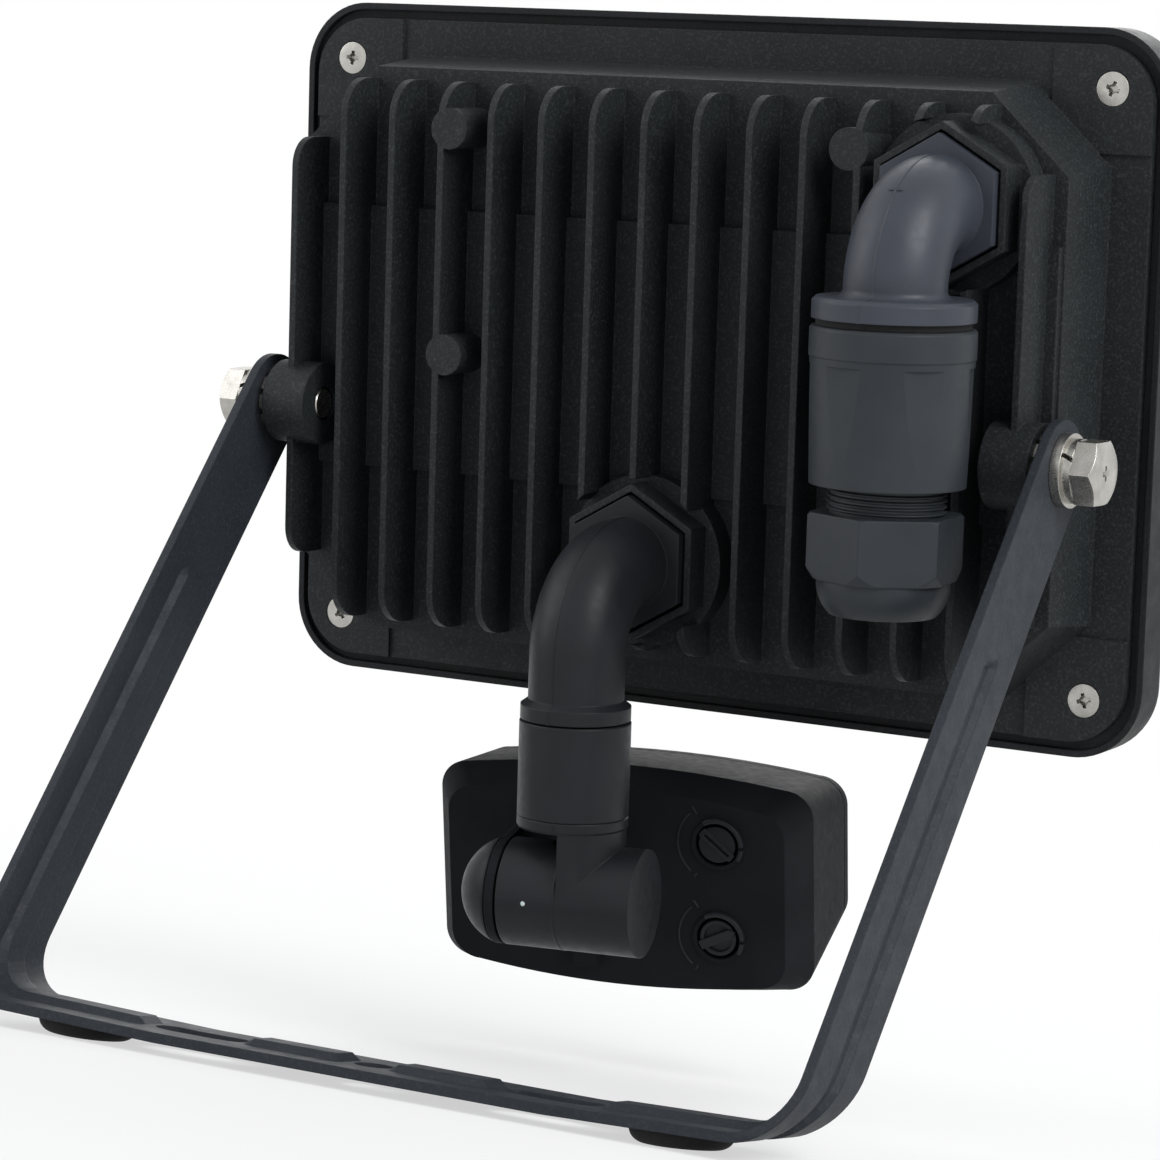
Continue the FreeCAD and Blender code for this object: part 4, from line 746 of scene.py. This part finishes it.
clear_selection()
bpy.ops.mesh.primitive_cylinder_add(
    vertices=ROUND_SIDES, radius=SCREW_HEAD, depth=SCREW_CONE, location=(0, 0, -SCREW_CONE / 2))
screw = bpy.context.object
edit(screw)
pick(looks_down)
narrow = SCREW_SHANK / SCREW_HEAD
bpy.ops.transform.resize(value=(narrow, narrow, 1.0), center_override=(0, 0, -SCREW_CONE))
drop = SCREW_LENGTH - SCREW_CONE
bpy.ops.mesh.extrude_region_move(TRANSFORM_OT_translate={"value": (0, 0, -drop)})
pick(looks_up)
bpy.ops.mesh.bevel(offset=SCREW_RIM, segments=3)
bpy.ops.object.mode_set(mode="OBJECT")
put(screw, Matrix.Identity(4))
cross_recess(screw, CROSS_SPAN, CROSS_ARM, CROSS_DEPTH, 0.0)
cross_recess(screw, MIDDLE_SPAN, MIDDLE_ARM, CROSS_DEPTH, 0.0)
print("one screw, faces", len(screw.data.polygons))

# %% [markdown]
# Copies of the screw
#
# The copies could share one mesh, but a finished piece has its place in its mesh, so each gets its
# own. The four are joined, as a set of like fasteners is one part, and the set is settled: it moves
# from the lamp's axes to its place and is told what carries it, and the ready-made screws are hidden.

# %% Four corner screws
SCREW_X = 72.7 * MM
SCREW_Z = 49.95 * MM
SCREW_TOP = 1.0 * MM
SCREW_TURNS = (12.0, -20.0, 34.0, -6.0)
SMOOTH_UNDER = 35.0
REARWARD = Matrix.Rotation(math.radians(-90.0), 4, "X")


def gather(pieces, name):
    """Join pieces into one, under a name."""
    clear_selection()
    for piece in pieces:
        piece.select_set(True)
    bpy.context.view_layer.objects.active = pieces[0]
    bpy.ops.object.join()
    pieces[0].name = name
    return pieces[0]


def repeat(first, places, name):
    """Copy a piece to each place, each copy with its own mesh, and gather the copies."""
    copies = []
    for place in places:
        copy = first.copy()
        copy.data = first.data.copy()
        bpy.context.scene.collection.objects.link(copy)
        put(copy, place)
        copies.append(copy)
    bpy.data.objects.remove(first, do_unlink=True)
    return gather(copies, name)


def settle(piece, place, body, slot_name, smooth_under=SMOOTH_UNDER):
    """Put a finished piece in its place, shade it, and give it its carrier and its finish."""
    put(piece, place)
    bpy.ops.object.shade_smooth_by_angle(angle=math.radians(smooth_under))
    if not piece.data.materials:
        piece.data.materials.append(finishes[slot_name])
    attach(piece, body)
    print(piece.name, "faces", len(piece.data.polygons))


corners = [(side, end) for side in (-1, 1) for end in (-1, 1)]
places = []
for (side, end), turn in zip(corners, SCREW_TURNS):
    corner = Matrix.Translation((side * SCREW_X, SCREW_TOP, end * SCREW_Z))
    places.append(corner @ REARWARD @ Matrix.Rotation(math.radians(turn), 4, "Z"))
screw_set = repeat(screw, places, "cross_screws")
settle(screw_set, lamp_place, "lamp", "stainless")
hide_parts("corner_screws")

# %% [markdown]
# Tilt bolts
#
# The lamp tilts on two hexagon bolts. The corners of a forged head are turned off at an angle, which
# leaves a curved edge on each flat, and the middle of the head has a small cross. A plain bevel would
# leave straight edges, so a six-sided cylinder keeps only what it shares with a wide cone.

# %% Head of a tilt bolt
BOLT_FLATS = 10.0 * MM
BOLT_HEAD = 4.0 * MM
BOLT_FACE = 4.6 * MM
BOLT_CROSS = 3.6 * MM
BOLT_CROSS_ARM = 1.2 * MM
BOLT_CROSS_DEPTH = 1.2 * MM
CONE_DEPTH = 8.0 * MM
CONE_SLOPE = math.tan(math.radians(60.0))
CONE_SIDES = 96
clear_selection()
bolt_corner = BOLT_FLATS / 2 / math.cos(math.radians(30.0))
bpy.ops.mesh.primitive_cylinder_add(
    vertices=6, radius=bolt_corner, depth=BOLT_HEAD, location=(0, 0, BOLT_HEAD / 2))
bolt = bpy.context.object
clear_selection()
bpy.ops.mesh.primitive_cone_add(
    vertices=CONE_SIDES, radius1=BOLT_FACE + CONE_DEPTH * CONE_SLOPE, radius2=BOLT_FACE,
    depth=CONE_DEPTH, location=(0, 0, BOLT_HEAD - CONE_DEPTH / 2))
carve(bolt, bpy.context.object, "INTERSECT")
put(bolt, Matrix.Identity(4))
cross_recess(bolt, BOLT_CROSS, BOLT_CROSS_ARM, BOLT_CROSS_DEPTH, BOLT_HEAD)
print("bolt head, faces", len(bolt.data.polygons))

# %% [markdown]
# Shank of a bolt
#
# The shank could be pulled out of the head, but a round rod doesn't start from a hexagon. So a rod
# that starts a little inside the head is joined to it. Its tip is chamfered, as a bolt's is, and the
# finished bolt is copied to each arm of the bracket, with its head outwards.

# %% Shank, and a bolt on each side
BOLT_SHANK = 3.0 * MM
BOLT_LENGTH = 14.86 * MM
BOLT_ROOT = 1.0 * MM
BOLT_TIP = 0.6 * MM
BOLT_X = 78.96 * MM
clear_selection()
bpy.ops.mesh.primitive_cylinder_add(
    vertices=ROUND_SIDES, radius=BOLT_SHANK, depth=BOLT_LENGTH + BOLT_ROOT,
    location=(0, 0, (BOLT_ROOT - BOLT_LENGTH) / 2))
shank = bpy.context.object
edit(shank)
pick(looks_down)
bpy.ops.mesh.bevel(offset=BOLT_TIP, segments=1)
bpy.ops.object.mode_set(mode="OBJECT")
carve(bolt, shank, "UNION")
places = []
for side in (-1, 1):
    arm_side = Matrix.Translation((side * BOLT_X, PIVOT_REAR, -PIVOT_DROP))
    places.append(arm_side @ Matrix.Rotation(math.radians(90.0 * side), 4, "Y"))
bolt_set = repeat(bolt, places, "tilt_bolts")
settle(bolt_set, lamp_place, "lamp", "stainless")
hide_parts("pivot_bolts")

# %% [markdown]
# Thread of the cable gland
#
# A few turns of moulded thread show between the connector and its cap. A thread can be faked with
# rings, but a real one climbs, so its outline is swept by a Screw modifier, which turns and lifts
# it at once. The outline is a tall rectangle whose outer side is squeezed.

# %% Outline of the thread
THREAD_PITCH = 0.95 * MM
THREAD_ROOT = 8.8 * MM
THREAD_CREST = 9.5 * MM
THREAD_FILL = 0.8
CREST_SHARE = 0.25
clear_selection()
bpy.ops.mesh.primitive_plane_add(size=1.0, location=(0, 0, 0), rotation=(math.radians(90.0), 0, 0))
thread = bpy.context.object
thread.name = "gland_thread"
thread.scale = (THREAD_CREST - THREAD_ROOT, THREAD_PITCH * THREAD_FILL, 1.0)
bpy.ops.object.transform_apply(location=True, rotation=True, scale=True)
edit(thread)
bpy.ops.mesh.select_all(action="SELECT")
flank_middle = (THREAD_CREST + THREAD_ROOT) / 2
bpy.ops.transform.translate(value=(flank_middle, 0, 0))
pick(lambda edge: all(v.co.x > flank_middle for v in edge.verts), "EDGE")
bpy.ops.transform.resize(value=(1.0, 1.0, CREST_SHARE), center_override=(THREAD_CREST, 0, 0))
bpy.ops.mesh.select_all(action="SELECT")
bpy.ops.mesh.delete(type="ONLY_FACE")
bpy.ops.object.mode_set(mode="OBJECT")
print("thread outline, edges", len(thread.data.edges))

# %% [markdown]
# Sweep of the thread
#
# The sweep goes down from the connector, by a pitch for each turn. It leaves both ends open, so they
# are filled, and the faces are turned outwards, because a sweep can come out inside out.

# %% Turns of the thread
INLET_X = -54.0 * MM
INLET_Y = 40.0 * MM
THREAD_TOP = -12.0 * MM
THREAD_TURNS = 5
TURN_STEPS = 72
SAME_POINT = 0.001 * MM


def close_up(piece):
    """Merge doubled points, fill open ends and turn every face outwards."""
    edit(piece)
    bpy.ops.mesh.select_all(action="SELECT")
    bpy.ops.mesh.remove_doubles(threshold=SAME_POINT)
    bpy.ops.mesh.fill_holes(sides=0)
    bpy.ops.mesh.select_all(action="SELECT")
    bpy.ops.mesh.normals_make_consistent(inside=False)
    bpy.ops.object.mode_set(mode="OBJECT")


climb = thread.modifiers.new("climb", "SCREW")
climb.axis = "Z"
climb.screw_offset = -THREAD_PITCH
climb.iterations = THREAD_TURNS
climb.steps = TURN_STEPS
climb.render_steps = TURN_STEPS
bpy.ops.object.modifier_apply(modifier="climb")
close_up(thread)
put(thread, Matrix.Translation((INLET_X, INLET_Y, THREAD_TOP)))
settle(thread, lamp_place, "lamp", "connector_grey")

# %% [markdown]
# Lines left by the moulds
#
# Each bent or branched plastic part was moulded in two halves, and a fine raised line shows where
# they met, round its middle. It could be a separate thread of plastic laid on the surface, but it
# would never follow each step. Here a copy of the part is cut by two close planes, and the narrow
# band of faces between them is pulled out a tenth of a millimetre. The copy stands for the part.

# %% Bands raised or sunk between two planes
LOOSE_POINT = 0.002 * MM
SKIN_STEEPNESS = 0.7


def copy_of(node, name, place):
    """Copy of a ready-made part, with its loose triangles merged, in its carrier's axes."""
    piece = bpy.data.objects.new(name, parts[node].data.copy())
    bpy.context.scene.collection.objects.link(piece)
    put(piece, place.inverted())
    edit(piece)
    bpy.ops.mesh.customdata_custom_splitnormals_clear()
    bpy.ops.mesh.select_all(action="SELECT")
    bpy.ops.mesh.remove_doubles(threshold=LOOSE_POINT)
    bpy.ops.object.mode_set(mode="OBJECT")
    return piece


def band(piece, point, direction, width, height, where):
    """Pull out, or sink, the faces between two close planes, where a test says so."""
    point = Vector(point)
    direction = Vector(direction).normalized()
    edit(piece)
    for side in (-0.5, 0.5):
        bpy.ops.mesh.select_all(action="SELECT")
        bpy.ops.mesh.bisect(plane_co=point + direction * width * side, plane_no=direction)
    half = width / 2 + SAME_POINT

    def inside(face):
        """Whether a face lies between the planes, on the stretch that is wanted."""
        return (abs((face.calc_center_median() - point).dot(direction)) < half
                and abs(face.normal.dot(direction)) < SKIN_STEEPNESS and where(face))

    found = pick(inside)
    bpy.ops.mesh.extrude_region_shrink_fatten(
        MESH_OT_extrude_region={"use_normal_flip": False},
        TRANSFORM_OT_shrink_fatten={"value": height})
    bpy.ops.object.mode_set(mode="OBJECT")
    return found


print("loose points merge within", round(LOOSE_POINT / MM, 4), "mm")

# %% [markdown]
# Where the mould lines run
#
# A line could go all the way round, but on the real elbow it shows outside the bend and is hidden
# inside it, and on the knuckle it runs down the back. So a test for each says which faces get it.

# %% Tests for the mould lines
INLET_BEND = Vector((INLET_X, 27.5 * MM, 18.5 * MM))
SENSOR_BEND = Vector((0, 28.0 * MM, -45.2 * MM))
BEND_CORE = 13.0 * MM
BEND_FRONT = -1.0 * MM
BACK_TURN = 0.05


def off_bend(bend):
    """Test for the outer side of an elbow, away from the centre of its bend."""
    def where(face):
        """Whether a face is behind the bend's centre and outside its core."""
        away = face.calc_center_median() - bend
        away.x = 0
        return away.y > BEND_FRONT and away.length > BEND_CORE and face.normal.dot(away) > 0
    return where


def on_back(face):
    """Whether a face of the knuckle looks to the rear."""
    return face.normal.y > BACK_TURN


print("inlet elbow bends about", [round(v, 4) for v in INLET_BEND], "in the lamp's axes")

# %% [markdown]
# Three moulded parts
#
# The inlet's elbow, the sensor's elbow and the knuckle get their lines in the same way, so one helper
# does it. The knuckle swivels, so its axes are the swivel's, with X along the pin.

# %% Mould lines of the elbows and the knuckle
LINE_WIDTH = 0.28 * MM
LINE_HEIGHT = 0.1 * MM
swivel_up = Vector(joints["sensor_swivel"]["axis"])
across = Vector(joints["sensor_tilt"]["axis"])
tee_place = axes_at(knuckle, across, swivel_up.cross(across))


def mould_line(node, place, body, slot_name, point, where):
    """Stand-in for a moulded part, with a fine raised line round its middle."""
    piece = copy_of(node, node + "_moulded", place)
    faces = band(piece, point, (1, 0, 0), LINE_WIDTH, LINE_HEIGHT, where)
    settle(piece, place, body, slot_name)
    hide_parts(node)
    print("line on", node, "faces", faces)


mould_line("inlet_elbow", lamp_place, "lamp", "elbow_blue_grey", INLET_BEND, off_bend(INLET_BEND))
mould_line("sensor_elbow", lamp_place, "lamp", "sensor_black", SENSOR_BEND, off_bend(SENSOR_BEND))
mould_line("knuckle_tee", tee_place, "swivel", "sensor_black", (0, 0, 0), on_back)

# %% [markdown]
# The knuckle's dome
#
# The outer end of the knuckle is a polished dome that reaches over the rim of its ear. It could be
# turned from a curve, but it is the end of a ball, so a ball is cut flat and the cut is filled.

# %% Dome of the knuckle
DOME_START = 12.2 * MM
DOME_END = 18.6 * MM
DOME_RIM = 8.85 * MM
DOME_EDGE = 0.2 * MM
dome_rise = DOME_END - DOME_START
dome_radius = (DOME_RIM ** 2 + dome_rise ** 2) / (2 * dome_rise)
clear_selection()
bpy.ops.mesh.primitive_uv_sphere_add(
    segments=72, ring_count=48, radius=dome_radius, location=(0, 0, 0),
    rotation=(0, math.radians(90.0), 0))
dome = bpy.context.object
dome.name = "knuckle_dome"
put(dome, Matrix.Translation((DOME_END - dome_radius, 0, 0)))
edit(dome)
bpy.ops.mesh.select_all(action="SELECT")
bpy.ops.mesh.bisect(
    plane_co=(DOME_START, 0, 0), plane_no=(1, 0, 0), clear_inner=True, use_fill=True)
bpy.ops.mesh.bevel(offset=DOME_EDGE, segments=2)
bpy.ops.object.mode_set(mode="OBJECT")
settle(dome, head_place, "sensor", "sensor_black")
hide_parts("knuckle_cap")

# %% [markdown]
# A speck of paint
#
# A white speck of paint marks the tested knuckle. It could be a spot of colour in the finish, but a
# dab of paint stands a little proud, so it is a ball pressed flat, with its underside cut off.

# %% Speck on the knuckle
SPECK_X = 5.12 * MM
SPECK_RADIUS = 0.42 * MM
SPECK_PRESS = 0.3
SPECK_SINK = 0.05 * MM
BARREL_RADIUS = 9.0 * MM
clear_selection()
bpy.ops.mesh.primitive_uv_sphere_add(
    segments=24, ring_count=12, radius=SPECK_RADIUS, location=(0, 0, 0))
speck = bpy.context.object
speck.name = "paint_speck"
put(speck, Matrix.Diagonal((1.0, SPECK_PRESS, 1.0, 1.0)))
edit(speck)
bpy.ops.mesh.select_all(action="SELECT")
bpy.ops.mesh.bisect(
    plane_co=(0, -SPECK_SINK, 0), plane_no=(0, 1, 0), clear_inner=True, use_fill=True)
bpy.ops.object.mode_set(mode="OBJECT")
put(speck, Matrix.Translation((SPECK_X, BARREL_RADIUS, 0)))
settle(speck, tee_place, "swivel", "white_silicone")

# %% [markdown]
# A star on the elbow
#
# A little star on the inlet elbow shows where plastic was fed into its mould. It could be drawn into
# the elbow's mesh, but four thin spikes laid on the bend, each pointing its own way, look the same.

# %% Star on the inlet elbow
STAR_ANGLE = 48.0
STAR_PLACE = 20.75 * MM
STAR_REACH = 1.5 * MM
SPIKE_RADIUS = 0.22 * MM
SPIKE_TURNS = (0.0, 90.0, 180.0, 270.0)
spikes = []
for turn in SPIKE_TURNS:
    clear_selection()
    bpy.ops.mesh.primitive_cone_add(
        vertices=4, radius1=SPIKE_RADIUS, radius2=0, depth=STAR_REACH, location=(0, 0, STAR_REACH / 2))
    spike = bpy.context.object
    put(spike, Matrix.Rotation(math.radians(turn), 4, "Y"))
    spikes.append(spike)
star = gather(spikes, "gate_star")
out_of_bend = Matrix.Rotation(math.radians(STAR_ANGLE), 4, "X")
put(star, Matrix.Translation(INLET_BEND) @ out_of_bend @ Matrix.Translation((0, STAR_PLACE, 0)))
settle(star, lamp_place, "lamp", "elbow_blue_grey")

# %% [markdown]
# Light chips
#
# Forty-eight white chips sit on the lamp's board, each a small tray with a yellow window where the
# light comes out. The window could be a colour on a block, but the tray's wall shades it. One is made
# from a block: its upright edges are rounded, its top is inset and sunk, and the sunk face is yellow.

# %% One light chip
CHIP_WIDE = 3.5 * MM
CHIP_HIGH = 2.8 * MM
CHIP_THICK = 0.7 * MM
CHIP_CORNER = 0.25 * MM
CHIP_WALL = 0.4 * MM
WINDOW_SINK = 0.15 * MM
WINDOW_EDGE = 0.01 * MM
clear_selection()
bpy.ops.mesh.primitive_cube_add(size=1.0, location=(0, 0, 0))
chip = bpy.context.object
chip.scale = (CHIP_WIDE, CHIP_HIGH, CHIP_THICK)
put(chip, Matrix.Translation((0, 0, -CHIP_THICK / 2)))
chip.data.materials.append(finishes["chip_case_white"])
chip.data.materials.append(finishes["chip_yellow"])
edit(chip)
pick(lambda edge: abs(edge.verts[0].co.z - edge.verts[1].co.z) > CHIP_THICK / 2, "EDGE")
bpy.ops.mesh.bevel(offset=CHIP_CORNER, segments=2)
pick(looks_up)
bpy.ops.mesh.inset(thickness=CHIP_WALL)
bpy.ops.mesh.extrude_region_move(TRANSFORM_OT_translate={"value": (0, 0, -WINDOW_SINK)})
bpy.ops.mesh.inset(thickness=WINDOW_EDGE)
bpy.context.object.active_material_index = 1
bpy.ops.object.material_slot_assign()
bpy.ops.object.mode_set(mode="OBJECT")
print("one chip, faces", len(chip.data.polygons))

# %% [markdown]
# Rows of chips
#
# The chips stand in even columns and rows about the middle of the board, looking forwards. They are
# all alike, so the first is copied to each place.

# %% Rows of light chips
CHIP_FRONT = 9.7 * MM
CHIP_STEP_X = 9.4 * MM
CHIP_STEP_Z = 9.0 * MM
CHIP_COLUMNS = 12
CHIP_ROWS = 4
CHIP_SMOOTH_UNDER = 20.0
FORWARD = Matrix.Rotation(math.radians(90.0), 4, "X")
places = []
for column in range(CHIP_COLUMNS):
    for row in range(CHIP_ROWS):
        x = (column - (CHIP_COLUMNS - 1) / 2) * CHIP_STEP_X
        z = (row - (CHIP_ROWS - 1) / 2) * CHIP_STEP_Z
        places.append(Matrix.Translation((x, CHIP_FRONT, z)) @ FORWARD)
chip_set = repeat(chip, places, "light_chips")
settle(chip_set, lamp_place, "lamp", "chip_yellow", CHIP_SMOOTH_UNDER)
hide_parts("led_chips")

# %% [markdown]
# The sensor's lens
#
# The lens is a thin milky dome, divided by fine grooves into small panes that each gather heat from
# one direction. The panes could be drawn with bump, but grooves catch light at the edge too. The
# dome of the ready-made lens is copied, and narrow bands of it are sunk: two along it and eight across.

# %% Lens with its panes
PANE_WIDTH = 6.2 * MM
PANE_COLUMNS = 9
PANE_ROWS = (3.1 * MM, -3.1 * MM)
PANE_GROOVE = 0.28 * MM
PANE_SINK = -0.18 * MM
PANES_START = -48.2 * MM
LENS_DROP = -6.7 * MM
LENS_CENTRE = Vector((0, -5.0 * MM, LENS_DROP))
DOME_TURN = -0.5
lens = copy_of("sensor_lens", "lens_panes", head_place)


def on_dome(face):
    """Whether a face is on the outer skin of the lens, ahead of its rim."""
    middle = face.calc_center_median()
    outwards = face.normal.dot(middle - LENS_CENTRE) > 0
    return middle.y < PANES_START and outwards and face.normal.y < DOME_TURN


sunk = 0
for column in range(1, PANE_COLUMNS):
    x = (column - PANE_COLUMNS / 2) * PANE_WIDTH
    sunk += band(lens, (x, 0, 0), (1, 0, 0), PANE_GROOVE, PANE_SINK, on_dome)
for row in PANE_ROWS:
    sunk += band(lens, (0, 0, LENS_DROP + row), (0, 0, 1), PANE_GROOVE, PANE_SINK, on_dome)
settle(lens, head_place, "sensor", "lens_white")
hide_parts("sensor_lens")
print("lens groove faces", sunk)

# %% [markdown]
# Rims and scales of the dials
#
# A thick raised rim runs part of the way round each dial, from eleven o'clock to past three, and a
# thin raised arc on its other side ends in two small marks. An arc could be cut from a ring, but it is
# easiest as a small section turned about the dial's centre by spin.

# %% Raised arc
SCALE_SINK = 0.3 * MM
ARC_ROUND = 0.35
ARC_STEPS = 28


def raised_arc(radius, width, proud, start, stop):
    """Raised arc with a rounded top, about the origin, between two directions in the dial's plane."""
    clear_selection()
    bpy.ops.mesh.primitive_plane_add(
        size=1.0, location=(0, 0, 0), rotation=(math.radians(90.0), 0, 0))
    arc = bpy.context.object
    arc.scale = (width, proud + SCALE_SINK, 1.0)
    put(arc, Matrix.Translation((radius, 0, (proud - SCALE_SINK) / 2)))
    edit(arc)
    pick(lambda edge: all(v.co.z > proud / 2 for v in edge.verts), "EDGE")
    bpy.ops.mesh.bevel(offset=min(width, proud) * ARC_ROUND, segments=3, affect="VERTICES")
    bpy.ops.object.mode_set(mode="OBJECT")
    put(arc, Matrix.Rotation(math.radians(start), 4, "Z"))
    edit(arc)
    bpy.ops.mesh.select_all(action="SELECT")
    bpy.ops.mesh.spin(
        steps=ARC_STEPS, angle=math.radians(start - stop), center=(0, 0, 0), axis=(0, 0, 1))
    close_up(arc)
    return arc


print("steps in an arc", ARC_STEPS)

# %% [markdown]
# Marks at the ends of the scale
#
# The thin arc ends in a long mark and a short one. Each is a bar with its upper edges taken off,
# made where the arc begins and turned round the dial to its place.

# %% Short bar beside a dial
SCALE_RADIUS = 7.0 * MM
SCALE_WIDTH = 0.35 * MM
SCALE_PROUD = 0.18 * MM
MARK_EDGE = 0.06 * MM


def end_mark(turn, length):
    """Short raised bar that points away from the dial."""
    clear_selection()
    bpy.ops.mesh.primitive_cube_add(size=1.0, location=(0, 0, 0))
    mark = bpy.context.object
    mark.scale = (length, SCALE_WIDTH, SCALE_PROUD + SCALE_SINK)
    put(mark, Matrix.Translation((SCALE_RADIUS, 0, (SCALE_PROUD - SCALE_SINK) / 2)))
    edit(mark)
    pick(looks_up)
    bpy.ops.mesh.bevel(offset=MARK_EDGE, segments=1)
    bpy.ops.object.mode_set(mode="OBJECT")
    put(mark, Matrix.Rotation(math.radians(turn), 4, "Z"))
    return mark


print("marks stand proud by", round(SCALE_PROUD / MM, 2), "mm")

# %% [markdown]
# The set for both dials
#
# Each dial gets the same set: two lengths of rim, the thin arc and its two marks. The set is made
# flat, stood up on the head's rear face at each dial, and all of it is joined into one piece.

# %% Rim, scale and marks of both dials
DIAL_X = -18.4 * MM
DIAL_HEIGHTS = (2.8 * MM, -14.1 * MM)
HEAD_FACE = -22.85 * MM
SCALE_SWEEP = 48.0
MARK_TURN = SCALE_SWEEP + 8.0
LONG_MARK = 1.6 * MM
SHORT_MARK = 0.8 * MM
RIM_RADIUS = 4.35 * MM
RIM_WIDTH = 0.8 * MM
RIM_PROUD = 0.95 * MM
RIM_SPANS = ((-60.0, -178.0), (-186.0, -212.0))
marks = []
for height in DIAL_HEIGHTS:
    around = [raised_arc(RIM_RADIUS, RIM_WIDTH, RIM_PROUD, *span) for span in RIM_SPANS]
    around.append(raised_arc(SCALE_RADIUS, SCALE_WIDTH, SCALE_PROUD, SCALE_SWEEP, -SCALE_SWEEP))
    around.append(end_mark(-MARK_TURN, LONG_MARK))
    around.append(end_mark(MARK_TURN, SHORT_MARK))
    for piece in around:
        put(piece, Matrix.Translation((DIAL_X, HEAD_FACE, height)) @ REARWARD)
    marks += around
scales = gather(marks, "dial_scales")
settle(scales, head_place, "sensor", "sensor_black")
